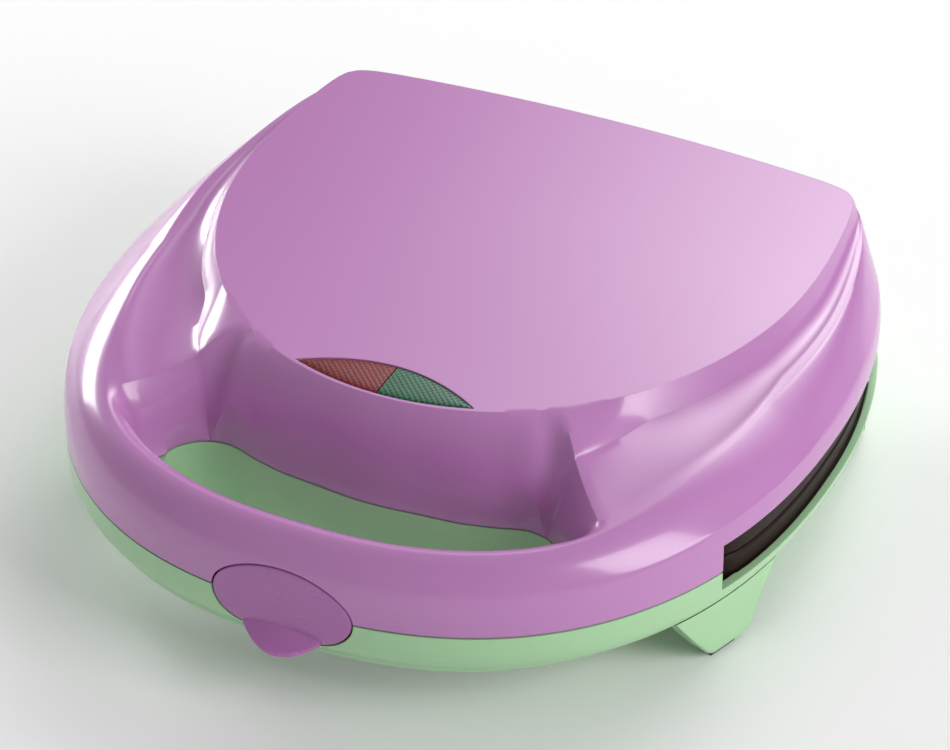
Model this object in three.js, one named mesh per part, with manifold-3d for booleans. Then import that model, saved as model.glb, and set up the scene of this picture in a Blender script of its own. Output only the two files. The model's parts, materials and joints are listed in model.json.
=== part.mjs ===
// Donut maker: two hinged halves with ring-shaped baking moulds, a carrying handle and a front latch.
// Millimetres. +Z up, the front faces -Y, +X is to the right. The origin is on the table under the
// middle of the whole object. The pieces are drawn in the frame of the body's plan, whose z = 0 is
// the plane where the two halves meet, and the top group then stands them on the table.
import * as THREE from "three";
import { mergeVertices } from "three/addons/utils/BufferGeometryUtils.js";
import Module from "manifold-3d";

const wasm = await Module();
wasm.setup();

// ---- overall sizes
const BODY_WIDTH = 250;
const FRONT_REACH = 129.5; // centre of the plan to the front of the handle
const REAR_REACH = 112.5; // centre of the plan to the rear wall
const PART_Z = 36; // table to the plane where the halves meet
const LID_HEIGHT = 36; // meeting plane to the edge of the raised panel
const BASE_DEPTH = 27; // meeting plane to the flat underside

// ---- plan shape of the housing
const WIDEST_Y = 15; // where the body is widest
const FRONT_POWER = 2.36; // superellipse power of the front
const SIDE_TAPER = 0.00275; // parabola that narrows the sides to the rear, per mm
const REAR_BOW = 3.5; // bow of the rear edge
const CORNER_POWER = 9; // superellipse power of the rear corners
const CENTRE_Y = 20; // centre of the rays on which every section is taken

// ---- raised panel
const PANEL_HALF = 99.5;
const PANEL_FRONT = 64.5; // centre of the plan to the panel's front edge
const PANEL_REAR_STEP = 3.5; // rear wall to the panel's rear edge
const PANEL_WIDEST_Y = 52;
const PANEL_POWER = 2.05;
const PANEL_TAPER = 0.00203;
const PANEL_CORNER_POWER = 20;
const PANEL_CROWN = 2.5; // rise of the rear middle of the panel

// ---- walls and gaps
const WALL = 2.5;
const GAP = 0.4; // between neighbouring pieces
const SEAM = 0.3; // half of the gap between the two halves
const RUN = 0.12; // radial clearance of a pin in its bore

// ---- carrying handle
const HANDLE_WIDTH = 21.5; // front of the body to the hand hole
const HANDLE_CREST = 23.5; // top of the handle over the meeting plane
const HOLE_HALF = 68;
const HOLE_REAR = 72.5; // centre of the plan to the hole's rear wall
const HANDLE_UNDER = 17.5; // underside of the handle below the meeting plane
const HOLE_END_FROM = 33; // ray angles over which the channel drops into the end of the hole
const HOLE_END_TO = 40;

// ---- open stretch of the side walls
const SIDE_OPEN_FRONT = -57;
const SIDE_OPEN_REAR = 86;
const SIDE_OPEN_UP = 10;
const SIDE_OPEN_DOWN = 7;
const SIDE_OPEN_IN = BODY_WIDTH / 2 - 21;

// ---- baking plates
const PLATE_INSET = 3.2; // outer face of the housing to the plate's skirt
const PLATE_FRONT = -54;
const PLATE_REAR = 95;
const PLATE_THICK = 3;
const SKIRT_THICK = 2.2;
const SKIRT_HEIGHT = 11;
const RING_RADIUS = 22; // centre line of a mould ring
const RING_SECTION = 12; // radius of the ring's section
const RING_FLATTEN = 0.85;
const RING_WALL = 2.2;
const RING_PITCH_X = 75;
const RING_FRONT_Y = -15;
const RING_PITCH_Y = 71;
const CHAMBER_GAP = 0.8;

// ---- heaters
const HEATER_RADIUS = 3.4;
const HEATER_HALF_X = 64;
const HEATER_FRONT = -20;
const HEATER_REAR = 60;
const HEATER_NECK = 36; // between its two ends
const HEATER_END = 84;
const HEATER_DROP = 16.6; // meeting plane to the heater's centre line
const REFLECTOR_DROP = 21;
const REFLECTOR_THICK = 0.8;
const REFLECTOR_INSET = 10; // inside the outline of the raised panel
const REFLECTOR_HALF_X = 84;
const REFLECTOR_FRONT = -50.5;
const REFLECTOR_REAR = 89;
const REFLECTOR_RIM = 4;

// ---- hinge
const HINGE_OUT = 6.6; // rear wall to the hinge axis
const HINGE_X = 60;
const EAR_RADIUS = 6;
const EAR_WIDTH = 7;
const LID_EAR_WIDTH = 9;
const HINGE_PIN_RADIUS = 2.2;
const EAR_REACH = 13; // height of an ear's root on the rear wall

// ---- latch
const LATCH_HALF_X = 23.5;
const LATCH_HALF_Z = 13.4;
const LATCH_Z = -0.4; // centre of the oval from the meeting plane
const LATCH_THICK = 3.2;
const LATCH_POCKET = 10; // depth of its recess in the handle
const LATCH_PIN_Z = 9;
const LATCH_PIN_IN = 3.5; // front of the handle to the pin's axis
const LATCH_PIN_RADIUS = 1.2;
const LATCH_PIN_HALF = 22.5;
const BARREL_RADIUS = 3.2;
const SPRING_BAY = 4.2; // half width of the bay for the spring
const SPRING_RADIUS = 2.0;
const SPRING_WIRE = 0.35;
const TAB_SIZE = [12.5, 8, 6];
const TAB_OUT = 0.5;
const ARM_HALF_X = 6;
const ARM_TOP = -4;
const ARM_DEPTH = 5.5;
const BARB_LENGTH = 1.6;
const BARB_HEIGHT = 3;

// ---- signal lens
const LENS_HALF_X = 30.5;
const LENS_REAR_BULGE = 9.5;
const LENS_FRONT_BULGE = 5.2;
const LENS_Y = -57.8;
const LENS_THICK = 3;
const LAMP_RADIUS = 2.6;
const LAMP_LENGTH = 15;

// ---- feet
const FOOT_ANGLE_FRONT = 58;
const FOOT_ANGLE_REAR = 119;
const FOOT_INSET = 12; // outer face of the housing to the foot's inner face
const FOOT_TOP = 53;
const FOOT_BOTTOM = 20;
const FOOT_THICK = 9;
const FOOT_EDGE_INSET = 2.6; // outer face of the housing to the foot's outermost edge
const PAD_THICK = 1.2;

// ---- underside and fasteners
const COVER_HALF_X = 86;
const COVER_FRONT = -65.5;
const COVER_REAR = 106;
const COVER_THICK = 2.4;
const POST_RADIUS = 4.5;
const SCREW_RADIUS = 1.6;
const SCREW_HEAD = 3.4;
const SCREW_LENGTH = 12;
const SCREW_SPOTS = [
  [45, -60.3],
  [68, 101.5],
];
const PLATE_SCREW_SPOTS = [
  [37.5, -37.5],
  [37.5, 81],
];

const RING_STEPS = 56;
const rad = THREE.MathUtils.degToRad;
const mix = THREE.MathUtils.lerp;
const ease = THREE.MathUtils.smoothstep;

// ---------------------------------------------------------------- solids

function solid(geometry) {
  const plain = geometry.clone();
  plain.deleteAttribute("normal");
  plain.deleteAttribute("uv");
  const merged = mergeVertices(plain, 1e-4);
  return new wasm.Manifold(
    new wasm.Mesh({
      numProp: 3,
      vertProperties: new Float32Array(merged.attributes.position.array),
      triVerts: new Uint32Array(merged.index.array),
    }),
  );
}

function geometryOf(body) {
  const mesh = body.getMesh();
  const geometry = new THREE.BufferGeometry();
  geometry.setAttribute("position", new THREE.BufferAttribute(mesh.vertProperties.slice(), 3));
  geometry.setIndex(new THREE.BufferAttribute(mesh.triVerts.slice(), 1));
  const flat = geometry.toNonIndexed();
  flat.computeVertexNormals();
  return flat;
}

// Closed skin over a stack of rings with equal point counts, ends closed by fans.
function loft(rings) {
  const count = rings[0].length;
  const points = rings.flat();
  const index = [];
  for (let k = 0; k + 1 < rings.length; k += 1) {
    for (let i = 0; i < count; i += 1) {
      const a = k * count + i;
      const b = k * count + ((i + 1) % count);
      index.push(a, a + count, b, b, a + count, b + count);
    }
  }
  for (const [ring, turned] of [[0, false], [rings.length - 1, true]]) {
    const centre = new THREE.Vector3();
    rings[ring].forEach((p) => centre.addScaledVector(p, 1 / count));
    points.push(centre);
    for (let i = 0; i < count; i += 1) {
      const a = ring * count + i;
      const b = ring * count + ((i + 1) % count);
      index.push(...(turned ? [a, points.length - 1, b] : [a, b, points.length - 1]));
    }
  }
  const geometry = new THREE.BufferGeometry().setFromPoints(points);
  geometry.setIndex(index);
  return solid(geometry);
}

function box(x0, x1, y0, y1, z0, z1) {
  const geometry = new THREE.BoxGeometry(x1 - x0, y1 - y0, z1 - z0);
  geometry.translate((x0 + x1) / 2, (y0 + y1) / 2, (z0 + z1) / 2);
  return solid(geometry);
}

function prism(points, z0, z1) {
  const outline = new THREE.Shape(points);
  const geometry = new THREE.ExtrudeGeometry(outline, { depth: z1 - z0, bevelEnabled: false });
  geometry.translate(0, 0, z0);
  return solid(geometry);
}

function rod(radius, from, to, sides = 20) {
  const length = from.distanceTo(to);
  const geometry = new THREE.CylinderGeometry(radius, radius, length, sides);
  geometry.translate(0, length / 2, 0);
  const turn = new THREE.Quaternion().setFromUnitVectors(
    new THREE.Vector3(0, 1, 0),
    to.clone().sub(from).normalize(),
  );
  geometry.applyQuaternion(turn);
  geometry.translate(from.x, from.y, from.z);
  return solid(geometry);
}

const vec = (x, y, z) => new THREE.Vector3(x, y, z);
const spot = (x, y) => new THREE.Vector2(x, y);

// ---------------------------------------------------------------- plan curves

// Value 1 on a plan outline: a superellipse in front of its widest line, a rounded taper behind it.
function planValue(shape, x, y) {
  const across = Math.abs(x);
  const along = y - shape.widestY;
  if (along < 0) {
    const front = -along / (shape.front + shape.widestY);
    return (across / shape.half) ** shape.power + front ** shape.power;
  }
  const side = across / Math.max(shape.half - shape.taper * along * along, 1);
  const rear = along / Math.max(shape.rear - shape.bow * (x / shape.half) ** 2 - shape.widestY, 1);
  return side ** shape.corner + rear ** shape.corner;
}

// Distance from the ray centre to a plan outline at an angle from the front.
function planRadius(shape, angle) {
  let low = 1;
  let high = 2 * BODY_WIDTH;
  for (let i = 0; i < 40; i += 1) {
    const middle = (low + high) / 2;
    const x = middle * Math.sin(angle);
    const y = CENTRE_Y - middle * Math.cos(angle);
    if (planValue(shape, x, y) < 1) low = middle;
    else high = middle;
  }
  return low;
}

const HOUSING = {
  half: BODY_WIDTH / 2,
  front: FRONT_REACH,
  rear: REAR_REACH,
  widestY: WIDEST_Y,
  power: FRONT_POWER,
  taper: SIDE_TAPER,
  bow: REAR_BOW,
  corner: CORNER_POWER,
};
const PANEL = {
  half: PANEL_HALF,
  front: PANEL_FRONT,
  rear: REAR_REACH - PANEL_REAR_STEP,
  widestY: PANEL_WIDEST_Y,
  power: PANEL_POWER,
  taper: PANEL_TAPER,
  bow: REAR_BOW,
  corner: PANEL_CORNER_POWER,
};

// Ray angles, closer together round the rear corners.
function rayAngles() {
  const corner = Math.atan2(HOUSING.half * 0.8, CENTRE_Y - HOUSING.rear);
  const angles = [];
  for (let i = 0; i < RING_STEPS; i += 1) {
    const even = (2 * Math.PI * i) / RING_STEPS - Math.PI;
    const pull = Math.abs(even) - corner;
    const shift = 0.55 * pull * Math.exp(-((pull / 0.3) ** 2));
    angles.push(even - Math.sign(even) * shift);
  }
  return angles;
}
const ANGLES = rayAngles();
const onRay = (angle, radius, z) =>
  vec(radius * Math.sin(angle), CENTRE_Y - radius * Math.cos(angle), z);

function planPoints(radiusOf) {
  return ANGLES.map((angle) => {
    const p = onRay(angle, radiusOf(angle), 0);
    return spot(p.x, p.y);
  });
}

// Soft minimum of radii, which rounds the corner where two limits meet.
function softMin(...radii) {
  const power = 26;
  const sum = radii.reduce((total, r) => total + (r / 100) ** -power, 0);
  return 100 * sum ** (-1 / power);
}

// Radius at which a ray meets the line y = value, or a far one when it runs away from it.
function lineRadius(angle, value) {
  const reach = (CENTRE_Y - value) / Math.cos(angle);
  return reach > 0 ? reach : 4 * BODY_WIDTH;
}

function plateRadius(angle, inset) {
  return softMin(
    planRadius(HOUSING, angle) - inset,
    lineRadius(angle, PLATE_FRONT + inset - PLATE_INSET),
    lineRadius(angle, PLATE_REAR - inset + PLATE_INSET),
  );
}

// Outline of the hand hole at the meeting plane, grown outward by a margin.
function holePoints(margin) {
  const front = -FRONT_REACH + HANDLE_WIDTH;
  const rear = -HOLE_REAR;
  const half = [
    [0, rear],
    [HOLE_HALF * 0.36, rear + 1.6],
    [HOLE_HALF * 0.6, rear + 5.2],
    [HOLE_HALF * 0.78, rear + 8.6],
    [HOLE_HALF * 0.92, rear + 5.4],
    [HOLE_HALF, rear - 3],
    [HOLE_HALF * 0.95, rear - 10.5],
    [HOLE_HALF * 0.8, rear - 19.5],
    [HOLE_HALF * 0.56, front + 7.2],
    [HOLE_HALF * 0.29, front + 1.9],
    [0, front],
  ];
  const left = half.slice(1, -1).reverse().map(([x, y]) => [-x, y]);
  const loop = half.concat(left).map(([x, y]) => vec(x, y, 0));
  const curve = new THREE.CatmullRomCurve3(loop, true, "centripetal");
  const steps = 40;
  const points = [];
  for (let i = 0; i < steps; i += 1) {
    const p = curve.getPoint(i / steps);
    const t = curve.getTangent(i / steps);
    points.push(spot(p.x + t.y * -margin, p.y + t.x * margin));
  }
  return points.reverse();
}

// ---------------------------------------------------------------- lid surface

function bezier(p0, p1, p2, p3, t) {
  const s = 1 - t;
  const f = (k) =>
    s * s * s * p0[k] + 3 * s * s * t * p1[k] + 3 * s * t * t * p2[k] + t * t * t * p3[k];
  return [f(0), f(1)];
}

function panelHeight(x, y) {
  const along = ease(y, -PANEL_FRONT, PANEL_WIDEST_Y);
  return LID_HEIGHT + PANEL_CROWN * along * (1 - (x / PANEL_HALF) ** 2);
}

// Section of the lid on one ray, from the panel's edge outward: radius and height pairs.
function lidSection(angle, steps) {
  const a = Math.abs(angle);
  const outer = planRadius(HOUSING, a);
  const crease = Math.min(planRadius(PANEL, a), outer - 1.2);
  const span = outer - crease;
  const edge = onRay(a, crease, 0);
  const top = panelHeight(edge.x, edge.y);
  const grip = 1 - ease(a, rad(30), rad(60));
  const hole = 1 - ease(a, rad(HOLE_END_FROM), rad(HOLE_END_TO));
  const back = ease(a, rad(100), rad(139));
  const flank = 1 - ease(a, rad(66), rad(100));

  const drop = mix(mix(5.5, 8, flank), 1.4, back);
  const reach = HOLE_REAR - PANEL_FRONT + 6 * ease(a, rad(8), rad(36)) + 4 * ease(a, rad(26), rad(36));
  const shoulder = mix(mix(2.8, mix(4.4, 11, grip), flank), 0.9, back);
  const slope = Math.min(mix(shoulder, reach, grip), span * 0.3);
  const sink = Math.min(1, 1.12 * hole);
  const floor = mix(top - drop, -2, sink);
  const footIn = [crease + slope, floor];
  const ringIn = Math.min(mix(mix(19.5, 0.62 * span, back), HANDLE_WIDTH, grip), span * 0.62);
  const crest = mix(mix(mix(28, 26.8, flank), top - 3.2, back), HANDLE_CREST, grip);
  const footOut = [outer - ringIn, mix(crest + mix(0.25, 0.4, back), -2, sink)];
  const crestIn = Math.min(mix(mix(18, 0.45 * span, back), 11, grip), span * 0.5);
  const crown = [outer - crestIn, crest];
  const rimIn = Math.min(1.2, span * 0.1);
  const rim = [outer - rimIn, mix(mix(16.5, 22, back), 13, grip)];

  const wallTop = [
    mix(mix(crease, footIn[0], 0.33), crease + slope * 0.62, grip),
    mix(mix(top, floor, 0.33), top - 4, hole),
  ];
  const wallLow = [
    mix(mix(crease, footIn[0], 0.66), footIn[0] - 0.6, grip),
    mix(mix(top, floor, 0.66), 11, hole),
  ];
  const dip = mix(0.9, 0.1, back) * (1 - hole);
  const points = [];
  const run = (p0, p1, p2, p3, count) => {
    for (let i = 1; i <= count; i += 1) points.push(bezier(p0, p1, p2, p3, i / count));
  };
  points.push([crease, top]);
  run([crease, top], wallTop, wallLow, footIn, steps[0]);
  run(
    footIn,
    [mix(footIn[0], footOut[0], 0.3), mix(footIn[1], footOut[1], 0.55) - dip],
    [mix(footIn[0], footOut[0], 0.7), mix(footIn[1], footOut[1], 0.85) - dip],
    footOut,
    steps[1],
  );
  run(
    footOut,
    [
      mix(mix(footOut[0], crown[0], 0.33), footOut[0] + 1.2, hole),
      mix(mix(footOut[1], crest, 0.33), 14, hole),
    ],
    [mix(mix(footOut[0], crown[0], 0.66), footOut[0] + 5.2, hole), crest],
    crown,
    steps[2],
  );
  run(
    crown,
    [mix(crown[0], rim[0], 0.36), crest - (crest - rim[1]) * mix(0.16, 0, grip)],
    [rim[0] - (rim[0] - crown[0]) * mix(0.3, 0.12, grip), rim[1] + (crest - rim[1]) * mix(0.38, 0.5, grip)],
    rim,
    steps[3],
  );
  run(rim, [outer - rimIn * 0.35, rim[1] - 2.4], [outer, rim[1] - 5], [outer, SIDE_OPEN_UP * 0.6], steps[4]);
  return points;
}

function lidRings(steps, panelRings, thick) {
  const columns = ANGLES.map((angle) => {
    const section = lidSection(angle, steps);
    const crease = section[0][0];
    const panel = panelRings.map((share) => {
      const p = onRay(angle, crease * share, 0);
      return onRay(angle, crease * share, panelHeight(p.x, p.y));
    });
    const shell = section.map(([r, z]) => onRay(angle, r, z));
    shell.push(onRay(angle, section.at(-1)[0], -4));
    return panel.concat(shell);
  });
  const rings = columns[0].map((_, k) => columns.map((column) => column[k].clone()));
  return thick ? inward(rings, thick) : rings;
}

// Moves a stack of rings inward along its own normals.
function inward(rings, thick) {
  const count = rings[0].length;
  return rings.map((ring, k) =>
    ring.map((p, i) => {
      const before = ring[(i + count - 1) % count];
      const after = ring[(i + 1) % count];
      const up = rings[Math.max(k - 1, 0)][i];
      const down = rings[Math.min(k + 1, rings.length - 1)][i];
      const along = after.clone().sub(before);
      const across = down.clone().sub(up);
      const normal = along.cross(across).normalize();
      if (k === rings.length - 1) normal.z = 0;
      return p.clone().addScaledVector(normal.normalize(), thick);
    }),
  );
}

const LID_STEPS = [3, 2, 2, 3, 2];
const LID_INNER_STEPS = [1, 1, 1, 2, 1];

// Section of the base on one ray, from the meeting plane down and in to the middle.
function baseSection(angle) {
  const a = Math.abs(angle);
  const outer = planRadius(HOUSING, a);
  const hole = 1 - ease(a, rad(40), rad(62));
  const back = ease(a, rad(120), rad(142));
  const frontFloor = lineRadius(a, COVER_FRONT - 1);
  const flat = Math.min(outer - mix(30, 5, back), mix(outer, frontFloor, hole));
  const lowEdge = outer - mix(9.5, 3, back);
  const shoulder = Math.min(flat + 7, lowEdge - 1);
  return [
    [outer, 0],
    [outer, -7],
    [outer - mix(0.9, 0.6, back), -10.6],
    [outer - mix(3.5, 1.4, back), mix(-14.2, -20, back)],
    [lowEdge, mix(-HANDLE_UNDER, -24.5, back)],
    [mix(mix(lowEdge, flat, 0.5), shoulder, hole), mix(mix(-22, -26, back), -HANDLE_UNDER - 0.6, hole)],
    [flat, -BASE_DEPTH],
  ];
}

function baseRings(shift, lift, top) {
  const columns = ANGLES.map((angle) =>
    baseSection(angle).map(([r, z], k) => onRay(angle, r - shift, k === 0 ? top : z + lift)),
  );
  return columns[0].map((_, k) => columns.map((column) => column[k]));
}

// ---------------------------------------------------------------- shared shapes

const FAR = 2 * BODY_WIDTH;
const AXIS_Y = REAR_REACH + HINGE_OUT;
const HOLE = prism(holePoints(0), -60, 60);
const HOLE_WALL = prism(holePoints(WALL), -60, 60);
const LATCH_SIDE = LATCH_HALF_X + 5; // half width of the solid block round the latch
const HANDLE_BACK = -FRONT_REACH + HANDLE_WIDTH;
const LATCH_BLOCK = box(-LATCH_SIDE, LATCH_SIDE, -FAR, HANDLE_BACK + 3, -60, 60);
const RING_RISE = RING_SECTION * RING_FLATTEN;

const lidBlock = loft(lidRings(LID_STEPS, [0.4, 0.75], 0)).intersect(box(-FAR, FAR, -FAR, FAR, -3, FAR));
const baseBlock = loft(baseRings(0, 0, 3));

function oval(halfX, halfZ, yFront, yBack) {
  const shape = new THREE.Shape();
  shape.absellipse(0, 0, halfX, halfZ, 0, 2 * Math.PI);
  const geometry = new THREE.ExtrudeGeometry(shape, {
    depth: yBack - yFront,
    bevelEnabled: false,
    curveSegments: 18,
  });
  geometry.rotateX(Math.PI / 2);
  geometry.translate(0, yBack, LATCH_Z);
  return solid(geometry);
}

function plateChamber(z0, z1) {
  return prism(planPoints((angle) => plateRadius(angle, PLATE_INSET - CHAMBER_GAP)), z0, z1);
}

// Ear of the hinge: a disc round the axis and a web to the rear wall, on one side of the meeting plane.
function ear(x0, x1, side) {
  const shape = new THREE.Shape();
  const reach = HINGE_OUT + REAR_BOW + WALL * 0.5;
  shape.moveTo(-reach, side * 1.5);
  shape.lineTo(-EAR_RADIUS, side * 1.0);
  shape.absarc(0, 0, EAR_RADIUS, Math.PI, side > 0 ? Math.PI * 0.35 : Math.PI * 1.65, side < 0);
  shape.lineTo(-reach, side * EAR_REACH);
  const geometry = new THREE.ExtrudeGeometry(shape, {
    depth: x1 - x0,
    bevelEnabled: false,
    curveSegments: 14,
  });
  geometry.rotateX(Math.PI / 2);
  geometry.rotateZ(Math.PI / 2);
  geometry.translate(x0, AXIS_Y, 0);
  return solid(geometry);
}

function pinBore(radius) {
  return rod(radius, vec(-FAR, AXIS_Y, 0), vec(FAR, AXIS_Y, 0), 24);
}

// ---------------------------------------------------------------- lid pieces

function lidCavity() {
  const inner = loft(lidRings(LID_INNER_STEPS, [0.5], WALL));
  const roofed = inner.intersect(box(-FAR, FAR, -FAR, FAR, WALL, FAR));
  return roofed.add(plateChamber(-5, SIDE_OPEN_UP + 2)).subtract(HOLE_WALL).subtract(LATCH_BLOCK);
}

function sideOpening(z0, z1) {
  const right = box(SIDE_OPEN_IN, FAR, SIDE_OPEN_FRONT, SIDE_OPEN_REAR, z0, z1);
  const left = box(-FAR, -SIDE_OPEN_IN, SIDE_OPEN_FRONT, SIDE_OPEN_REAR, z0, z1);
  return right.add(left);
}

// Spindle outline of the signal lens, on the front edge of the panel.
function lensPoints(margin) {
  const steps = 16;
  const points = [];
  const half = LENS_HALF_X + margin;
  for (let i = 0; i <= steps; i += 1) {
    const x = mix(-half, half, i / steps);
    points.push(spot(x, LENS_Y - (LENS_FRONT_BULGE + margin) * (1 - (x / half) ** 2)));
  }
  for (let i = 1; i < steps; i += 1) {
    const x = mix(half, -half, i / steps);
    points.push(spot(x, LENS_Y + (LENS_REAR_BULGE + margin) * (1 - (x / half) ** 2)));
  }
  return points;
}

function lidEars() {
  return [-1, 1].map((side) => {
    const x = side * HINGE_X;
    return ear(x - LID_EAR_WIDTH / 2, x + LID_EAR_WIDTH / 2, 1);
  });
}

function lidShell() {
  let body = lidBlock.subtract(lidCavity()).subtract(HOLE);
  lidEars().forEach((lug) => {
    body = body.add(lug);
  });
  body = body.subtract(box(-FAR, FAR, -FAR, REAR_REACH - 2 * WALL, -FAR, SEAM));
  body = body.subtract(box(-FAR, FAR, 0, REAR_REACH + 0.2, -FAR, SEAM));
  body = body.subtract(sideOpening(-5, SIDE_OPEN_UP));
  body = body.subtract(prism(lensPoints(GAP), LID_HEIGHT - 8, LID_HEIGHT + 8));
  const pocketBack = -FRONT_REACH + LATCH_POCKET;
  body = body.subtract(oval(LATCH_HALF_X + GAP + 0.15, LATCH_HALF_Z + GAP + 0.15, -FAR, pocketBack));
  const pinY = -FRONT_REACH + LATCH_PIN_IN;
  const bore = LATCH_PIN_HALF + 0.5;
  const pinLeft = vec(-bore, pinY, LATCH_PIN_Z);
  const pinRight = vec(bore, pinY, LATCH_PIN_Z);
  body = body.subtract(rod(LATCH_PIN_RADIUS + RUN, pinLeft, pinRight, 16));
  return body.subtract(pinBore(HINGE_PIN_RADIUS + RUN));
}

// Steel or plastic posts that stand on a plate and take its screws.
const plateScrewSpots = () =>
  [-1, 1].flatMap((side) => PLATE_SCREW_SPOTS.map(([x, y]) => [side * x, y]));

// Baking plate for the lid (side 1) or the base (side -1).
function bakingPlate(side) {
  const faceRadius = (angle) => plateRadius(angle, PLATE_INSET);
  const skirtRadius = (angle) => plateRadius(angle, PLATE_INSET + SKIRT_THICK);
  const slab = prism(planPoints(faceRadius), SEAM, SEAM + SKIRT_HEIGHT);
  const hollow = prism(planPoints(skirtRadius), SEAM + PLATE_THICK, FAR);
  let plate = slab.subtract(hollow);
  const outer = ringMould(RING_SECTION + RING_WALL).intersect(box(-FAR, FAR, -FAR, FAR, SEAM + 0.5, FAR));
  const inner = ringMould(RING_SECTION);
  ringSpots().forEach(([x, y]) => {
    plate = plate.add(outer.translate(x, y, SEAM));
  });
  ringSpots().forEach(([x, y]) => {
    plate = plate.subtract(inner.translate(x, y, SEAM));
  });
  plateScrewSpots().forEach(([x, y]) => {
    plate = plate.add(rod(POST_RADIUS - 0.5, vec(x, y, SEAM + 1), vec(x, y, REFLECTOR_DROP - GAP), 16));
  });
  plateScrewSpots().forEach(([x, y]) => {
    const tip = vec(x, y, REFLECTOR_DROP - SCREW_LENGTH);
    plate = plate.subtract(rod(SCREW_RADIUS + RUN, tip, vec(x, y, FAR), 12));
  });
  return side > 0 ? plate : plate.mirror([0, 0, 1]);
}

function ringMould(radius) {
  const geometry = new THREE.TorusGeometry(RING_RADIUS, radius, 6, 18);
  geometry.scale(1, 1, RING_FLATTEN);
  return solid(geometry);
}

function ringSpots() {
  return [0, 1].flatMap((row) =>
    [-1, 0, 1].map((column) => [column * RING_PITCH_X, RING_FRONT_Y + row * RING_PITCH_Y]),
  );
}

// Heater: one bent tube behind a plate, its two ends side by side at the rear.
function heater(side) {
  const x = HEATER_HALF_X;
  const y0 = HEATER_FRONT;
  const y1 = HEATER_REAR;
  const inner = HEATER_NECK / 2;
  const path = new THREE.CurvePath();
  const corner = 16;
  const loop = [
    [-inner, HEATER_END],
    [-inner, y1],
    [-x, y1],
    [-x, y0],
    [x, y0],
    [x, y1],
    [inner, y1],
    [inner, HEATER_END],
  ].map(([px, py]) => vec(px, py, 0));
  let from = loop[0];
  for (let i = 1; i + 1 < loop.length; i += 1) {
    const length = i === 1 || i === 6 ? 10 : corner;
    const before = loop[i].clone().add(loop[i - 1].clone().sub(loop[i]).setLength(length));
    const after = loop[i].clone().add(loop[i + 1].clone().sub(loop[i]).setLength(length));
    path.add(new THREE.LineCurve3(from, before));
    path.add(new THREE.QuadraticBezierCurve3(before, loop[i], after));
    from = after;
  }
  path.add(new THREE.LineCurve3(from, loop.at(-1)));
  const section = new THREE.Shape();
  section.absarc(0, 0, HEATER_RADIUS, 0, 2 * Math.PI);
  const geometry = new THREE.ExtrudeGeometry(section, { steps: 44, extrudePath: path, curveSegments: 3 });
  return solid(geometry).translate(0, 0, side * HEATER_DROP);
}

// Shallow tray that throws the heat back at the plate.
function reflector(side) {
  const outline = (inset) =>
    planPoints((angle) =>
      softMin(
        planRadius(PANEL, angle) - REFLECTOR_INSET - inset,
        (REFLECTOR_HALF_X - inset) / Math.max(Math.abs(Math.sin(angle)), 0.01),
        lineRadius(angle, REFLECTOR_FRONT + inset),
        lineRadius(angle, REFLECTOR_REAR - inset),
      ),
    );
  const low = REFLECTOR_DROP - REFLECTOR_RIM;
  let tray = prism(outline(0), low, REFLECTOR_DROP + REFLECTOR_THICK);
  tray = tray.subtract(prism(outline(REFLECTOR_THICK), low - 1, REFLECTOR_DROP));
  tray = tray.subtract(box(-26, 26, 60, FAR, low - 1, REFLECTOR_DROP));
  plateScrewSpots().forEach(([x, y]) => {
    tray = tray.add(rod(6, vec(x, y, REFLECTOR_DROP), vec(x, y, REFLECTOR_DROP + REFLECTOR_THICK), 16));
    tray = tray.subtract(rod(SCREW_RADIUS + GAP, vec(x, y, 0), vec(x, y, FAR), 12));
  });
  return side > 0 ? tray : tray.mirror([0, 0, 1]);
}

// Pan-head screw whose head rests on the plane z = seat and whose shank points along -z.
function screw(x, y, seat, length) {
  const profile = [
    spot(0, seat - length),
    spot(SCREW_RADIUS, seat - length + 1),
    spot(SCREW_RADIUS, seat),
    spot(SCREW_HEAD, seat),
    spot(SCREW_HEAD, seat + 1.1),
    spot(SCREW_HEAD * 0.6, seat + 2),
    spot(0, seat + 2),
  ];
  const geometry = new THREE.LatheGeometry(profile, 10);
  geometry.rotateX(Math.PI / 2);
  let body = solid(geometry);
  body = body.subtract(box(-2, 2, -0.4, 0.4, seat + 1.1, seat + 3));
  return body.translate(x, y, 0);
}

function plateScrew(x, y, side) {
  const body = screw(x, y, REFLECTOR_DROP + REFLECTOR_THICK + 0.1, SCREW_LENGTH - 1.5);
  return side > 0 ? body : body.mirror([0, 0, 1]);
}

// One half of the signal lens, flush with the panel; side -1 is the left one.
function lensHalf(side) {
  const spindle = prism(lensPoints(0), LID_HEIGHT - LENS_THICK, LID_HEIGHT + 0.25);
  const cut = side > 0 ? box(-FAR, GAP / 2, -FAR, FAR, 0, FAR) : box(-GAP / 2, FAR, -FAR, FAR, 0, FAR);
  return spindle.subtract(cut);
}

// Frame under the panel that carries both lenses and shades one lamp from the other.
function lensHolder() {
  const top = LID_HEIGHT - LENS_THICK - GAP;
  const clear = prism(planPoints((angle) => planRadius(PANEL, angle) - WALL - 2.6), 0, FAR);
  const frame = prism(lensPoints(3), top - 2, top).intersect(clear);
  const windows = prism(lensPoints(-2), top - 5, top + 5).subtract(box(-1, 1, -FAR, FAR, 0, FAR));
  return frame.subtract(windows);
}

function signalLamp(side) {
  const r = LAMP_RADIUS;
  const h = LAMP_LENGTH;
  const low = [spot(0, 0), spot(r, 0), spot(r, h - 3)];
  const profile = [...low, spot(r * 0.7, h - 1), spot(r * 0.3, h), spot(0, h)];
  const geometry = new THREE.LatheGeometry(profile, 12);
  geometry.rotateZ((-side * Math.PI) / 2);
  geometry.translate(side * 3, LENS_Y + 3, LID_HEIGHT - LENS_THICK - 7);
  return solid(geometry);
}

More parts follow.
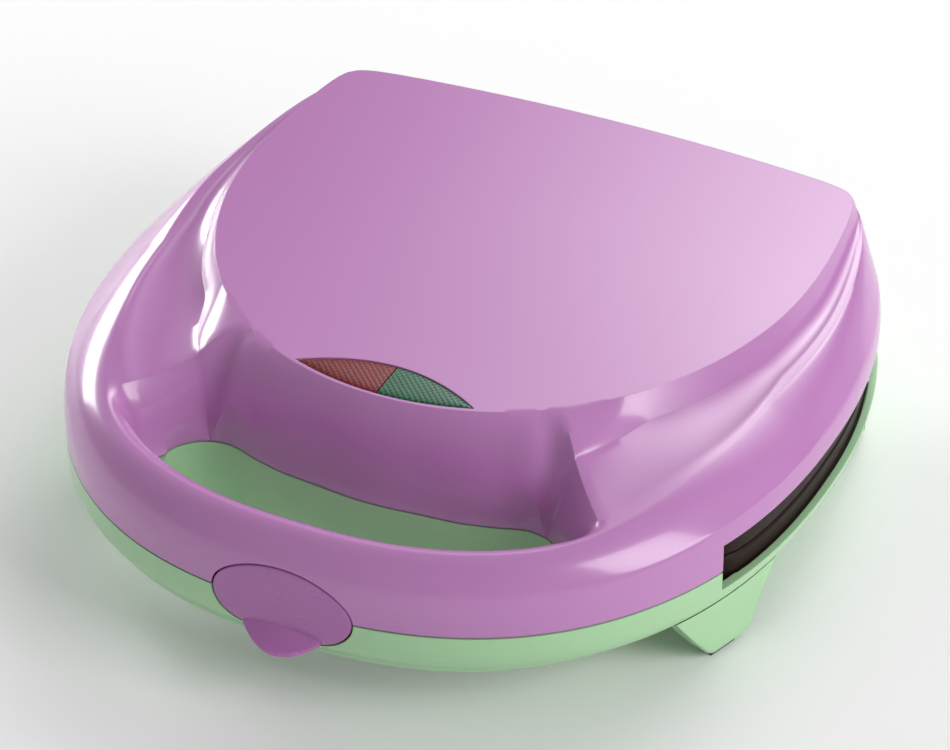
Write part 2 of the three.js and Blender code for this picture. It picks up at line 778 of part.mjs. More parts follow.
// ---------------------------------------------------------------- base pieces

const postSpots = () => [-1, 1].flatMap((side) => SCREW_SPOTS.map(([x, y]) => [side * x, y]));

function coverOutline(margin) {
  const corners = [
    [COVER_HALF_X * 0.72, COVER_FRONT],
    [COVER_HALF_X, COVER_FRONT + 34],
    [COVER_HALF_X, COVER_REAR - 16],
    [COVER_HALF_X - 12, COVER_REAR],
  ];
  const grown = corners.map(([x, y]) => [x + margin, y + Math.sign(y - CENTRE_Y) * margin]);
  const mirrored = grown.map(([x, y]) => [-x, y]).reverse();
  return grown.concat(mirrored).map(([x, y]) => spot(x, y));
}

function baseEars() {
  const near = LID_EAR_WIDTH / 2 + GAP;
  return [-1, 1].flatMap((side) => {
    const x = side * HINGE_X;
    return [ear(x - near - EAR_WIDTH, x - near, -1), ear(x + near, x + near + EAR_WIDTH, -1)];
  });
}

const GROMMET_X = -22;
const GROMMET_DROP = 14;
const GROMMET_RADIUS = 6;
const GROMMET_BORE = 3.4;

const rearWallAt = (x) => REAR_REACH - REAR_BOW * (x / (BODY_WIDTH / 2)) ** 2;

function baseShell() {
  const inner = loft(baseRings(WALL, WALL, 3));
  const low = inner.intersect(box(-FAR, FAR, -FAR, FAR, -FAR, -WALL));
  const cavity = low.add(plateChamber(-SKIRT_HEIGHT - 3, 5)).subtract(HOLE_WALL).subtract(LATCH_BLOCK);
  let body = baseBlock.subtract(cavity).subtract(HOLE);
  baseEars().forEach((lug) => {
    body = body.add(lug);
  });
  postSpots().forEach(([x, y]) => {
    body = body.add(rod(POST_RADIUS, vec(x, y, -BASE_DEPTH + COVER_THICK + GAP), vec(x, y, -1), 18));
  });
  body = body.subtract(prism(coverOutline(GAP), -FAR, -BASE_DEPTH + COVER_THICK + GAP));
  body = body.subtract(box(-FAR, FAR, -FAR, REAR_REACH + 0.3, -SEAM, FAR));
  body = body.subtract(sideOpening(-SIDE_OPEN_DOWN, 5));
  const pocketBack = -FRONT_REACH + LATCH_POCKET;
  body = body.subtract(oval(LATCH_HALF_X + GAP + 0.15, LATCH_HALF_Z + GAP + 0.15, -FAR, pocketBack));
  body = body.subtract(catchPlate(GAP));
  postSpots().forEach(([x, y]) => {
    body = body.subtract(rod(SCREW_RADIUS + RUN, vec(x, y, -FAR), vec(x, y, -BASE_DEPTH + SCREW_LENGTH), 12));
  });
  const wall = rearWallAt(GROMMET_X);
  const boreIn = vec(GROMMET_X, wall - 14, -GROMMET_DROP);
  const boreOut = vec(GROMMET_X, wall + 6, -GROMMET_DROP);
  body = body.subtract(rod(GROMMET_RADIUS + GAP, boreIn, boreOut));
  return body.subtract(pinBore(HINGE_PIN_RADIUS + RUN));
}

// Steel plate let into the base; the latch's barb catches under its front edge.
function catchPlate(margin) {
  const front = -FRONT_REACH + LATCH_POCKET - 0.4;
  const under = -(-ARM_TOP + GAP) - 1.4;
  const top = under + 1.6 + margin + (margin > 0 ? 6 : 0);
  return box(-8 - margin, 8 + margin, front - margin, front + 5 + margin, under - margin, top);
}

function bottomCover() {
  let body = prism(coverOutline(0), -BASE_DEPTH, -BASE_DEPTH + COVER_THICK);
  for (let i = -3; i <= 3; i += 1) {
    body = body.subtract(box(i * 9 - 1.5, i * 9 + 1.5, 2, 38, -FAR, 0));
  }
  postSpots().forEach(([x, y]) => {
    body = body.subtract(rod(SCREW_RADIUS + GAP, vec(x, y, -FAR), vec(x, y, 0), 12));
  });
  return body;
}

function coverScrew(x, y) {
  return screw(x, y, BASE_DEPTH + 0.1, SCREW_LENGTH - 1.5).mirror([0, 0, 1]);
}

// Fin-shaped foot that follows the rounded edge of the base.
function foot(angleDegrees, side) {
  const angle = rad(angleDegrees);
  const drop = PART_Z - PAD_THICK - GAP;
  const shape = new THREE.Shape();
  const half = FOOT_TOP / 2;
  const toe = FOOT_BOTTOM / 2;
  shape.moveTo(-half, -10);
  shape.bezierCurveTo(-half * 0.78, -18, -toe - 6, -25, -toe - 1, -drop + 3.5);
  shape.quadraticCurveTo(-toe + 1.5, -drop, -toe + 4, -drop);
  shape.lineTo(toe - 3.5, -drop);
  shape.quadraticCurveTo(toe + 1.5, -drop, toe + 3, -drop + 5.5);
  shape.bezierCurveTo(toe + 4.5, -drop + 11, half * 0.75, -19.5, half, -10);
  const geometry = new THREE.ExtrudeGeometry(shape, {
    depth: FOOT_THICK - 2,
    bevelEnabled: true,
    bevelThickness: 1,
    bevelSize: 1,
    bevelOffset: -1,
    bevelSegments: 1,
    curveSegments: 6,
  });
  geometry.translate(0, 0, 1);
  geometry.rotateX(Math.PI / 2);
  const tangent = planTangent(angle);
  const at = onRay(angle, planRadius(HOUSING, angle) - FOOT_INSET, 0);
  geometry.rotateZ(Math.atan2(tangent.y, tangent.x));
  geometry.translate(at.x, at.y, 0);
  const fin = solid(geometry);
  const edge = prism(planPoints((a) => planRadius(HOUSING, a) - FOOT_EDGE_INSET), -FAR, FAR);
  const own = side > 0 ? fin : fin.mirror([1, 0, 0]);
  return own.intersect(edge).subtract(baseBlock.translate(0, 0, -GAP));
}

function planTangent(angle) {
  const a = onRay(angle - 0.05, planRadius(HOUSING, angle - 0.05), 0);
  const b = onRay(angle + 0.05, planRadius(HOUSING, angle + 0.05), 0);
  return b.sub(a).normalize();
}

function footPad(angleDegrees, side) {
  const angle = rad(angleDegrees);
  const half = FOOT_BOTTOM / 2 - 4.5;
  const geometry = new THREE.BoxGeometry(2 * half, FOOT_THICK - 3, PAD_THICK);
  const tangent = planTangent(angle);
  const at = onRay(angle, planRadius(HOUSING, angle) - FOOT_INSET + FOOT_THICK / 2, 0);
  geometry.rotateZ(Math.atan2(tangent.y, tangent.x));
  geometry.translate(at.x, at.y, -PART_Z + PAD_THICK / 2);
  const pad = solid(geometry);
  return side > 0 ? pad : pad.mirror([1, 0, 0]);
}

function hingePin(side) {
  const half = LID_EAR_WIDTH / 2 + GAP + EAR_WIDTH + 0.6;
  const x = side * HINGE_X;
  return rod(HINGE_PIN_RADIUS, vec(x - half, AXIS_Y, 0), vec(x + half, AXIS_Y, 0), 24);
}

function cordGrommet() {
  const wall = rearWallAt(GROMMET_X);
  const r = GROMMET_RADIUS;
  const inner = -WALL - 6;
  const profile = [
    spot(GROMMET_BORE, inner),
    spot(r - 0.1, inner),
    spot(r - 0.1, 0.7),
    spot(r + 2.4, 0.7),
    spot(r + 1.8, 3),
    spot(GROMMET_BORE + 0.8, 4.2),
    spot(GROMMET_BORE, 4.2),
    spot(GROMMET_BORE, inner),
  ];
  const geometry = new THREE.LatheGeometry(profile, 20);
  geometry.translate(GROMMET_X, wall, GROMMET_DROP);
  return solid(geometry).translate(0, 0, -2 * GROMMET_DROP);
}

function block(x, y, z, sx, sy, sz) {
  return box(x - sx / 2, x + sx / 2, y - sy / 2, y + sy / 2, z - sz / 2, z + sz / 2);
}

function disc(x, y, z, radius, height) {
  return rod(radius, vec(x, y, z - height / 2), vec(x, y, z + height / 2), 18);
}

// Bundle of sleeved leads inside one half, from its terminals to the heater's ends.
function wiring(points, radius) {
  const path = new THREE.CatmullRomCurve3(points.map(([x, y, z]) => vec(x, y, z)), false, "centripetal");
  const section = new THREE.Shape();
  section.absarc(0, 0, radius, 0, 2 * Math.PI);
  return solid(new THREE.ExtrudeGeometry(section, { steps: 22, extrudePath: path, curveSegments: 4 }));
}

// ---------------------------------------------------------------- latch

function latchBody() {
  const cover = oval(LATCH_HALF_X, LATCH_HALF_Z, -FAR, HANDLE_BACK);
  const lower = box(-FAR, FAR, -FAR, FAR, -FAR, 0.5).intersect(baseBlock);
  const both = lidBlock.intersect(box(-FAR, FAR, -FAR, FAR, -1, FAR)).add(lower);
  const skin = both.subtract(both.translate(0, LATCH_THICK, 0));
  const front = box(-FAR, FAR, -FAR, -FRONT_REACH + LATCH_THICK + 4, -FAR, FAR);
  let body = skin.intersect(cover).intersect(front);
  const pinY = -FRONT_REACH + LATCH_PIN_IN;
  const barrel = rod(BARREL_RADIUS, vec(-16, pinY, LATCH_PIN_Z), vec(16, pinY, LATCH_PIN_Z), 20);
  body = body.add(barrel.intersect(both).intersect(cover));
  const tab = new THREE.SphereGeometry(1, 16, 10);
  tab.rotateX(Math.PI / 2);
  tab.scale(...TAB_SIZE);
  tab.translate(0, -FRONT_REACH - TAB_OUT, LATCH_Z - LATCH_HALF_Z + 2.2);
  const grip = solid(tab);
  const clear = both.translate(0, 0, -GAP - 0.2).add(both.translate(0, -GAP - 0.2, 0)).subtract(cover);
  const gripBack = box(-FAR, FAR, -FRONT_REACH + LATCH_THICK, FAR, -FAR, FAR);
  body = body.add(grip.subtract(clear).subtract(gripBack));
  const armBack = -FRONT_REACH + ARM_DEPTH + 2.4;
  const arm = box(-ARM_HALF_X, ARM_HALF_X, -FRONT_REACH + 2.6, armBack, ARM_TOP - 5, ARM_TOP - 2);
  const barbFront = armBack - 1.4;
  const barbLow = ARM_TOP - 5;
  const barbEnd = barbFront + BARB_LENGTH;
  const barb = box(-ARM_HALF_X, ARM_HALF_X, barbFront, barbEnd, barbLow, barbLow + BARB_HEIGHT);
  body = body.add(arm).add(barb);
  const bayLeft = vec(-SPRING_BAY, pinY, LATCH_PIN_Z);
  const bayRight = vec(SPRING_BAY, pinY, LATCH_PIN_Z);
  const bay = rod(SPRING_RADIUS + SPRING_WIRE + 0.35, bayLeft, bayRight, 16);
  const bayBack = box(-SPRING_BAY, SPRING_BAY, pinY, pinY + 6, LATCH_PIN_Z - 2.7, LATCH_PIN_Z + 2.7);
  body = body.subtract(bay).subtract(bayBack);
  const boreLeft = vec(-30, pinY, LATCH_PIN_Z);
  const boreRight = vec(30, pinY, LATCH_PIN_Z);
  return body.subtract(rod(LATCH_PIN_RADIUS + RUN, boreLeft, boreRight, 16));
}

function latchPin() {
  const pinY = -FRONT_REACH + LATCH_PIN_IN;
  const left = vec(-LATCH_PIN_HALF, pinY, LATCH_PIN_Z);
  const right = vec(LATCH_PIN_HALF, pinY, LATCH_PIN_Z);
  return rod(LATCH_PIN_RADIUS, left, right, 16);
}

// Torsion spring: a close coil round the latch pin.
function latchSpring() {
  const turns = 3;
  const pinY = -FRONT_REACH + LATCH_PIN_IN;
  const reach = SPRING_BAY - SPRING_WIRE - 0.5;
  const points = [];
  for (let i = 0; i <= turns * 8; i += 1) {
    const turn = (i / 8) * 2 * Math.PI;
    points.push(vec(
      mix(-reach, reach, i / (turns * 8)),
      pinY + SPRING_RADIUS * Math.cos(turn),
      LATCH_PIN_Z + SPRING_RADIUS * Math.sin(turn),
    ));
  }
  const path = new THREE.CatmullRomCurve3(points);
  const section = new THREE.Shape();
  section.absarc(0, 0, SPRING_WIRE, 0, 2 * Math.PI);
  const coil = { steps: turns * 10, extrudePath: path, curveSegments: 3 };
  return solid(new THREE.ExtrudeGeometry(section, coil));
}

// ---------------------------------------------------------------- assembly

const LOOKS = {
  lilac: { color: 0xcd96c8, roughness: 0.2, metalness: 0 },
  mint: { color: 0xaad7aa, roughness: 0.3, metalness: 0 },
  latch: { color: 0xc07fbd, roughness: 0.25, metalness: 0 },
  nonstick: { color: 0x230c0c, roughness: 0.4, metalness: 0.2 },
  steel: { color: 0xb8babd, roughness: 0.3, metalness: 1 },
  aluminium: { color: 0xd2d4d6, roughness: 0.35, metalness: 1 },
  red: { color: 0x8c0f14, roughness: 0.2, metalness: 0 },
  green: { color: 0x006e46, roughness: 0.2, metalness: 0 },
  black: { color: 0x1a1a1c, roughness: 0.5, metalness: 0 },
  rubber: { color: 0x2a2a2c, roughness: 0.8, metalness: 0 },
  ceramic: { color: 0xe8e4da, roughness: 0.6, metalness: 0 },
  glass: { color: 0xf2c9a0, roughness: 0.1, metalness: 0 },
  sleeve: { color: 0xe6e0cc, roughness: 0.7, metalness: 0 },
};

const donutMaker = new THREE.Group();
const base = new THREE.Group();
const lid = new THREE.Group();
donutMaker.add(base, lid);
const frontmost = FRONT_REACH + TAB_OUT + TAB_SIZE[1];
const rearmost = AXIS_Y + EAR_RADIUS;
donutMaker.position.set(0, (frontmost - rearmost) / 2, PART_Z);

function place(group, name, look, body) {
  const mesh = new THREE.Mesh(geometryOf(body), new THREE.MeshStandardMaterial(LOOKS[look]));
  mesh.name = name;
  group.add(mesh);
}

place(base, "base_shell", "mint", baseShell());
place(base, "base_bottom_cover", "mint", bottomCover());
place(base, "lower_baking_plate", "nonstick", bakingPlate(-1));
place(base, "lower_heater", "steel", heater(-1));
place(base, "lower_reflector", "aluminium", reflector(-1));
place(base, "catch_plate", "steel", catchPlate(0));
place(base, "cord_grommet", "black", cordGrommet());
place(base, "thermostat", "steel", disc(RING_PITCH_X / 2, 20.5, -(SEAM + PLATE_THICK + GAP) - 3.5, 7, 7));
place(base, "terminal_block", "ceramic", block(-22, 98, -20.5, 16, 9, 7));
place(lid, "lid_shell", "lilac", lidShell());
place(lid, "upper_baking_plate", "nonstick", bakingPlate(1));
place(lid, "upper_heater", "steel", heater(1));
place(lid, "upper_reflector", "aluminium", reflector(1));
place(lid, "thermal_fuse", "ceramic", disc(-RING_PITCH_X / 2, 20.5, SEAM + PLATE_THICK + GAP + 3, 5, 6));
place(lid, "lens_left_red", "red", lensHalf(-1));
place(lid, "lens_right_green", "green", lensHalf(1));
place(lid, "lens_holder", "black", lensHolder());
place(lid, "lamp_left", "glass", signalLamp(-1));
place(lid, "lamp_right", "glass", signalLamp(1));
place(lid, "latch", "latch", latchBody());
place(lid, "latch_pin", "steel", latchPin());
place(lid, "latch_spring", "steel", latchSpring());

for (const [side, hand] of [[-1, "left"], [1, "right"]]) {
  place(base, `hinge_pin_${hand}`, "steel", hingePin(side));
  for (const [angle, end] of [[FOOT_ANGLE_FRONT, "front"], [FOOT_ANGLE_REAR, "rear"]]) {
    place(base, `foot_${end}_${hand}`, "mint", foot(angle, side));
    place(base, `foot_pad_${end}_${hand}`, "rubber", footPad(angle, side));
  }
  SCREW_SPOTS.forEach(([x, y], i) => {
    const end = i === 0 ? "front" : "rear";
    place(base, `cover_screw_${end}_${hand}`, "steel", coverScrew(side * x, y));
  });
  PLATE_SCREW_SPOTS.forEach(([x, y], i) => {
    const end = i === 0 ? "front" : "rear";
    place(base, `lower_plate_screw_${end}_${hand}`, "steel", plateScrew(side * x, y, -1));
    place(lid, `upper_plate_screw_${end}_${hand}`, "steel", plateScrew(side * x, y, 1));
  });
}

export default donutMaker;
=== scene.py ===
"""Looks of the donut maker: finer shells, moulds, latch and lens on the CAD frame, with its materials."""
import json
import math

import bmesh
import bpy
from mathutils import Matrix, Vector


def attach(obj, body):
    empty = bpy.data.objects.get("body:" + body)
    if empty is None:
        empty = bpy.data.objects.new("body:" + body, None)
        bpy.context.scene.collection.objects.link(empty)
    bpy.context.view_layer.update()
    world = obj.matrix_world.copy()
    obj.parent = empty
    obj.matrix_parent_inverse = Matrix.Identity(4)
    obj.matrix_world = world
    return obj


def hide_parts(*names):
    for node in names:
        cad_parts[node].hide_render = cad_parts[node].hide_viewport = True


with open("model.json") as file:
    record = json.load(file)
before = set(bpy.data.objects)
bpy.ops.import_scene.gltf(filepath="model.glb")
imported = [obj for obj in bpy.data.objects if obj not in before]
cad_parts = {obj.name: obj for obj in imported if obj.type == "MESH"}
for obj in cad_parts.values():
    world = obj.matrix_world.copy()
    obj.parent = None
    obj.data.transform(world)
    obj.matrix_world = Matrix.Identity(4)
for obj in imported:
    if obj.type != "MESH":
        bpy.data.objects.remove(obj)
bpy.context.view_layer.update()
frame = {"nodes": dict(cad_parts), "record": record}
NODES = frame["nodes"]
MM = 0.001

# ---- sizes of the model, in millimetres, in the frame of the body's plan (z = 0 where the halves meet)
BODY_WIDTH, FRONT_REACH, REAR_REACH, PART_Z = 250, 129.5, 112.5, 36
LID_HEIGHT, BASE_DEPTH = 36, 27
WIDEST_Y, FRONT_POWER, SIDE_TAPER, REAR_BOW, CORNER_POWER, CENTRE_Y = 15, 2.36, 0.00275, 3.5, 9, 20
PANEL_HALF, PANEL_FRONT, PANEL_REAR_STEP, PANEL_WIDEST_Y = 99.5, 64.5, 3.5, 52
PANEL_POWER, PANEL_TAPER, PANEL_CORNER_POWER, PANEL_CROWN = 2.05, 0.00203, 20, 2.5
WALL, GAP, SEAM, RUN = 2.5, 0.4, 0.3, 0.12
HANDLE_WIDTH, HANDLE_CREST, HOLE_HALF, HOLE_REAR, HANDLE_UNDER = 21.5, 23.5, 68, 72.5, 17.5
HOLE_END_FROM, HOLE_END_TO = 33, 40
SIDE_OPEN_FRONT, SIDE_OPEN_REAR, SIDE_OPEN_UP, SIDE_OPEN_DOWN = -57, 86, 10, 7
SIDE_OPEN_IN = BODY_WIDTH / 2 - 21
PLATE_INSET, PLATE_FRONT, PLATE_REAR, PLATE_THICK = 3.2, -54, 95, 3
SKIRT_THICK, SKIRT_HEIGHT, CHAMBER_GAP = 2.2, 11, 0.8
RING_RADIUS, RING_SECTION, RING_FLATTEN, RING_WALL = 22, 12, 0.85, 2.2
RING_PITCH_X, RING_FRONT_Y, RING_PITCH_Y = 75, -15, 71
HINGE_OUT, HINGE_X, EAR_RADIUS, EAR_WIDTH, LID_EAR_WIDTH = 6.6, 60, 6, 7, 9
HINGE_PIN_RADIUS, EAR_REACH = 2.2, 13
LATCH_HALF_X, LATCH_HALF_Z, LATCH_Z, LATCH_THICK, LATCH_POCKET = 23.5, 13.4, -0.4, 3.2, 10
LATCH_PIN_Z, LATCH_PIN_IN, BARREL_RADIUS = 9, 3.5, 3.2
TAB_SIZE, TAB_OUT, TAB_REACH = (12.5, 8, 6), 0.5, 6.6
ARM_HALF_X, ARM_TOP, ARM_DEPTH, BARB_LENGTH, BARB_HEIGHT = 6, -4, 5.5, 1.6, 3
LENS_HALF_X, LENS_REAR_BULGE, LENS_FRONT_BULGE, LENS_Y, LENS_THICK = 30.5, 9.5, 5.2, -57.8, 3
FOOT_ANGLE_FRONT, FOOT_ANGLE_REAR, FOOT_INSET, FOOT_TOP, FOOT_BOTTOM, FOOT_THICK = 58, 119, 12, 53, 20, 9
PAD_THICK, FOOT_EDGE_INSET = 1.2, 2.6
COVER_HALF_X, COVER_FRONT, COVER_REAR, COVER_THICK, POST_RADIUS = 86, -65.5, 106, 2.4, 4.5
SCREW_SPOTS = [(45, -60.3), (68, 101.5)]
PLATE_SCREW_SPOTS = [(37.5, -37.5), (37.5, 81)]
SCREW_RADIUS = 1.6
GROMMET_X, GROMMET_DROP, GROMMET_RADIUS = -22, 14, 6
AXIS_Y = REAR_REACH + HINGE_OUT
SHIFT_Y = ((FRONT_REACH + TAB_OUT + TAB_SIZE[1]) - (AXIS_Y + EAR_RADIUS)) / 2
FAR = 2 * BODY_WIDTH
THROUGH = 60  # half height of a cutter that goes right through the body


def mix(a, b, t):
    return a + (b - a) * t


def ease(x, low, high):
    """Smooth step from 0 at low to 1 at high."""
    t = min(max((x - low) / (high - low), 0.0), 1.0)
    return t * t * (3 - 2 * t)


# ---------------------------------------------------------------- plan curves
HOUSING = (BODY_WIDTH / 2, FRONT_REACH, REAR_REACH, WIDEST_Y, FRONT_POWER, SIDE_TAPER, CORNER_POWER)
PANEL = (PANEL_HALF, PANEL_FRONT, REAR_REACH - PANEL_REAR_STEP, PANEL_WIDEST_Y, PANEL_POWER,
         PANEL_TAPER, PANEL_CORNER_POWER)


def plan_value(shape, x, y):
    """Below 1 inside a plan outline: a superellipse in front, bowed sides and rear behind."""
    half, front, rear, widest, power, taper, corner = shape
    along = y - widest
    if along < 0:
        return (abs(x) / half) ** power + (-along / (front + widest)) ** power
    side = abs(x) / max(half - taper * along * along, 1)
    back = along / max(rear - REAR_BOW * (x / half) ** 2 - widest, 1)
    return side ** corner + back ** corner


_radii = {}


def plan_radius(shape, angle):
    """Distance from the plan centre to an outline, found by halving."""
    key = (shape[0], round(abs(angle), 6))
    if key not in _radii:
        low, high = 1.0, 2.0 * BODY_WIDTH
        for _ in range(36):
            middle = (low + high) / 2
            inside = plan_value(shape, middle * math.sin(angle), CENTRE_Y - middle * math.cos(angle)) < 1
            low, high = (middle, high) if inside else (low, middle)
        _radii[key] = low
    return _radii[key]


def ray_angles(count):
    """Angles all round the plan, drawn closer together at the rear corners."""
    corner = math.atan2(HOUSING[0] * 0.8, CENTRE_Y - REAR_REACH)
    angles = []
    for i in range(count):
        even = 2 * math.pi * i / count - math.pi
        pull = abs(even) - corner
        shift = 0.55 * pull * math.exp(-((pull / 0.3) ** 2))
        angles.append(even - math.copysign(shift, even))
    return angles


def on_ray(angle, radius, z):
    return (radius * math.sin(angle), CENTRE_Y - radius * math.cos(angle), z)


def soft_min(*radii):
    """Smallest radius, with the change from one to another rounded off."""
    return 100 * sum((r / 100) ** -26 for r in radii) ** (-1 / 26)


def line_radius(angle, value):
    """Distance from the plan centre to the line y = value."""
    c = math.cos(angle)
    reach = (CENTRE_Y - value) / c if abs(c) > 1e-9 else -1
    return reach if reach > 0 else 4 * BODY_WIDTH


def plate_radius(angle, inset):
    """Edge of the baking plates: the housing outline cut straight at front and rear."""
    return soft_min(
        plan_radius(HOUSING, angle) - inset,
        line_radius(angle, PLATE_FRONT + inset - PLATE_INSET),
        line_radius(angle, PLATE_REAR - inset + PLATE_INSET),
    )


def spline(points, count):
    """Closed centripetal Catmull-Rom curve through plan points, at even steps of its parameter."""
    n = len(points)
    out = []
    for k in range(count):
        at = k * n / count
        i, t = int(at), at - int(at)
        p = [Vector(points[(i + j - 1) % n]) for j in range(4)]
        d = [max((p[j + 1] - p[j]).length ** 0.5, 1e-4) for j in range(3)]
        t1 = (p[1] - p[0]) / d[0] - (p[2] - p[0]) / (d[0] + d[1]) + (p[2] - p[1]) / d[1]
        t2 = (p[2] - p[1]) / d[1] - (p[3] - p[1]) / (d[1] + d[2]) + (p[3] - p[2]) / d[2]
        t1, t2 = t1 * d[1], t2 * d[1]
        c2 = -3 * p[1] + 3 * p[2] - 2 * t1 - t2
        c3 = 2 * p[1] - 2 * p[2] + t1 + t2
        out.append((p[1] + t1 * t + c2 * t * t + c3 * t ** 3, t1 + 2 * c2 * t + 3 * c3 * t * t))
    return out


def hole_points(margin, count=160):
    """Outline of the hand hole, grown by a margin."""
    front, rear, w = -FRONT_REACH + HANDLE_WIDTH, -HOLE_REAR, HOLE_HALF
    half = [(0, rear), (w * 0.36, rear + 1.6), (w * 0.6, rear + 5.2), (w * 0.78, rear + 8.6),
            (w * 0.92, rear + 5.4), (w, rear - 3), (w * 0.95, rear - 10.5), (w * 0.8, rear - 19.5),
            (w * 0.56, front + 7.2), (w * 0.29, front + 1.9), (0, front)]
    loop = half + [(-x, y) for x, y in reversed(half[1:-1])]
    points = []
    for p, t in spline(loop, count):
        t = t.normalized()
        points.append((p.x - t.y * margin, p.y + t.x * margin))
    return points[::-1]


# ---------------------------------------------------------------- lid surface
def bezier(p, t):
    """Point on a cubic Bezier curve of two-number points."""
    s = 1 - t
    w = (s ** 3, 3 * s * s * t, 3 * s * t * t, t ** 3)
    return [sum(w[j] * p[j][k] for j in range(4)) for k in range(2)]


def panel_height(x, y):
    return LID_HEIGHT + PANEL_CROWN * ease(y, -PANEL_FRONT, PANEL_WIDEST_Y) * (1 - (x / PANEL_HALF) ** 2)


def lid_section(angle, steps):
    """Radius and height from the panel edge down to the rim, for one angle of the plan."""
    a = abs(angle)
    rad = math.radians
    outer = plan_radius(HOUSING, a)
    crease = min(plan_radius(PANEL, a), outer - 1.2)
    span = outer - crease
    edge = on_ray(a, crease, 0)
    top = panel_height(edge[0], edge[1])
    grip = 1 - ease(a, rad(30), rad(60))
    hole = 1 - ease(a, rad(HOLE_END_FROM), rad(HOLE_END_TO))
    back = ease(a, rad(100), rad(139))
    flank = 1 - ease(a, rad(66), rad(100))
    drop = mix(mix(5.5, 8, flank), 1.4, back)
    reach = HOLE_REAR - PANEL_FRONT + 6 * ease(a, rad(8), rad(36)) + 4 * ease(a, rad(26), rad(36))
    shoulder = mix(mix(2.8, mix(4.4, 11, grip), flank), 0.9, back)
    slope = min(mix(shoulder, reach, grip), span * 0.3)
    sink = min(1, 1.12 * hole)
    floor = mix(top - drop, -2, sink)
    foot_in = (crease + slope, floor)
    ring_in = min(mix(mix(19.5, 0.62 * span, back), HANDLE_WIDTH, grip), span * 0.62)
    crest = mix(mix(mix(28, 26.8, flank), top - 3.2, back), HANDLE_CREST, grip)
    foot_out = (outer - ring_in, mix(crest + mix(0.25, 0.4, back), -2, sink))
    crest_in = min(mix(mix(18, 0.45 * span, back), 11, grip), span * 0.5)
    crown = (outer - crest_in, crest)
    rim_in = min(1.2, span * 0.1)
    rim = (outer - rim_in, mix(mix(16.5, 22, back), 13, grip))
    wall_top = (mix(mix(crease, foot_in[0], 0.33), crease + slope * 0.62, grip),
                mix(mix(top, floor, 0.33), top - 4, hole))
    wall_low = (mix(mix(crease, foot_in[0], 0.66), foot_in[0] - 0.6, grip),
                mix(mix(top, floor, 0.66), 11, hole))
    dip = mix(0.9, 0.1, back) * (1 - hole)
    runs = [
        [(crease, top), wall_top, wall_low, foot_in],
        [foot_in,
         (mix(foot_in[0], foot_out[0], 0.3), mix(foot_in[1], foot_out[1], 0.55) - dip),
         (mix(foot_in[0], foot_out[0], 0.7), mix(foot_in[1], foot_out[1], 0.85) - dip),
         foot_out],
        [foot_out,
         (mix(mix(foot_out[0], crown[0], 0.33), foot_out[0] + 1.2, hole),
          mix(mix(foot_out[1], crest, 0.33), 14, hole)),
         (mix(mix(foot_out[0], crown[0], 0.66), foot_out[0] + 5.2, hole), crest),
         crown],
        [crown,
         (mix(crown[0], rim[0], 0.36), crest - (crest - rim[1]) * mix(0.16, 0, grip)),
         (rim[0] - (rim[0] - crown[0]) * mix(0.3, 0.12, grip),
          rim[1] + (crest - rim[1]) * mix(0.38, 0.5, grip)),
         rim],
        [rim, (outer - rim_in * 0.35, rim[1] - 2.4), (outer, rim[1] - 5), (outer, SIDE_OPEN_UP * 0.6)],
    ]
    points = [[crease, top]]
    for run, count in zip(runs, steps):
        points += [bezier(run, (i + 1) / count) for i in range(count)]
    return points


def lid_rings(angles, steps, panel_shares, thick):
    columns = []
    for angle in angles:
        section = lid_section(angle, steps)
        column = []
        for share in panel_shares:
            p = on_ray(angle, section[0][0] * share, 0)
            column.append((p[0], p[1], panel_height(p[0], p[1])))
        column += [on_ray(angle, r, z) for r, z in section]
        column.append(on_ray(angle, section[-1][0], -4))
        columns.append([Vector(p) for p in column])
    rings = [list(ring) for ring in zip(*columns)]
    if not thick:
        return rings
    moved = []
    for k, ring in enumerate(rings):
        up, down = rings[max(k - 1, 0)], rings[min(k + 1, len(rings) - 1)]
        row = []
        for i, p in enumerate(ring):
            normal = (ring[(i + 1) % len(ring)] - ring[i - 1]).cross(down[i] - up[i]).normalized()
            if k == len(rings) - 1:
                normal.z = 0
            row.append(p + normal.normalized() * thick)
        moved.append(row)
    return moved


def base_section(angle):
    """Radius and height down the side of the base, for one angle of the plan."""
    a = abs(angle)
    outer = plan_radius(HOUSING, a)
    hole = 1 - ease(a, math.radians(40), math.radians(62))
    back = ease(a, math.radians(120), math.radians(142))
    flat = min(outer - mix(30, 5, back), mix(outer, line_radius(a, COVER_FRONT - 1), hole))
    low_edge = outer - mix(9.5, 3, back)
    shoulder = min(flat + 7, low_edge - 1)
    return [
        (outer, 0), (outer, -7), (outer - mix(0.9, 0.6, back), -10.6),
        (outer - mix(3.5, 1.4, back), mix(-14.2, -20, back)),
        (low_edge, mix(-HANDLE_UNDER, -24.5, back)),
        (mix(mix(low_edge, flat, 0.5), shoulder, hole), mix(mix(-22, -26, back), -HANDLE_UNDER - 0.6, hole)),
        (flat, -BASE_DEPTH),
    ]


def rounded(points, first, last, steps):
    """Rounds the inner corners of a section between two of its points with Catmull-Rom spans."""
    out = list(points[: first + 1])
    for i in range(first, last):
        p = [Vector(points[min(max(j, first), last)]) for j in (i - 1, i, i + 1, i + 2)]
        for s in range(1, steps + 1):
            t = s / steps
            q = 0.5 * ((2 * p[1]) + (p[2] - p[0]) * t + (2 * p[0] - 5 * p[1] + 4 * p[2] - p[3]) * t * t
                       + (3 * p[1] - p[0] - 3 * p[2] + p[3]) * t ** 3)
            out.append((q.x, q.y))
    return out + list(points[last + 1:])


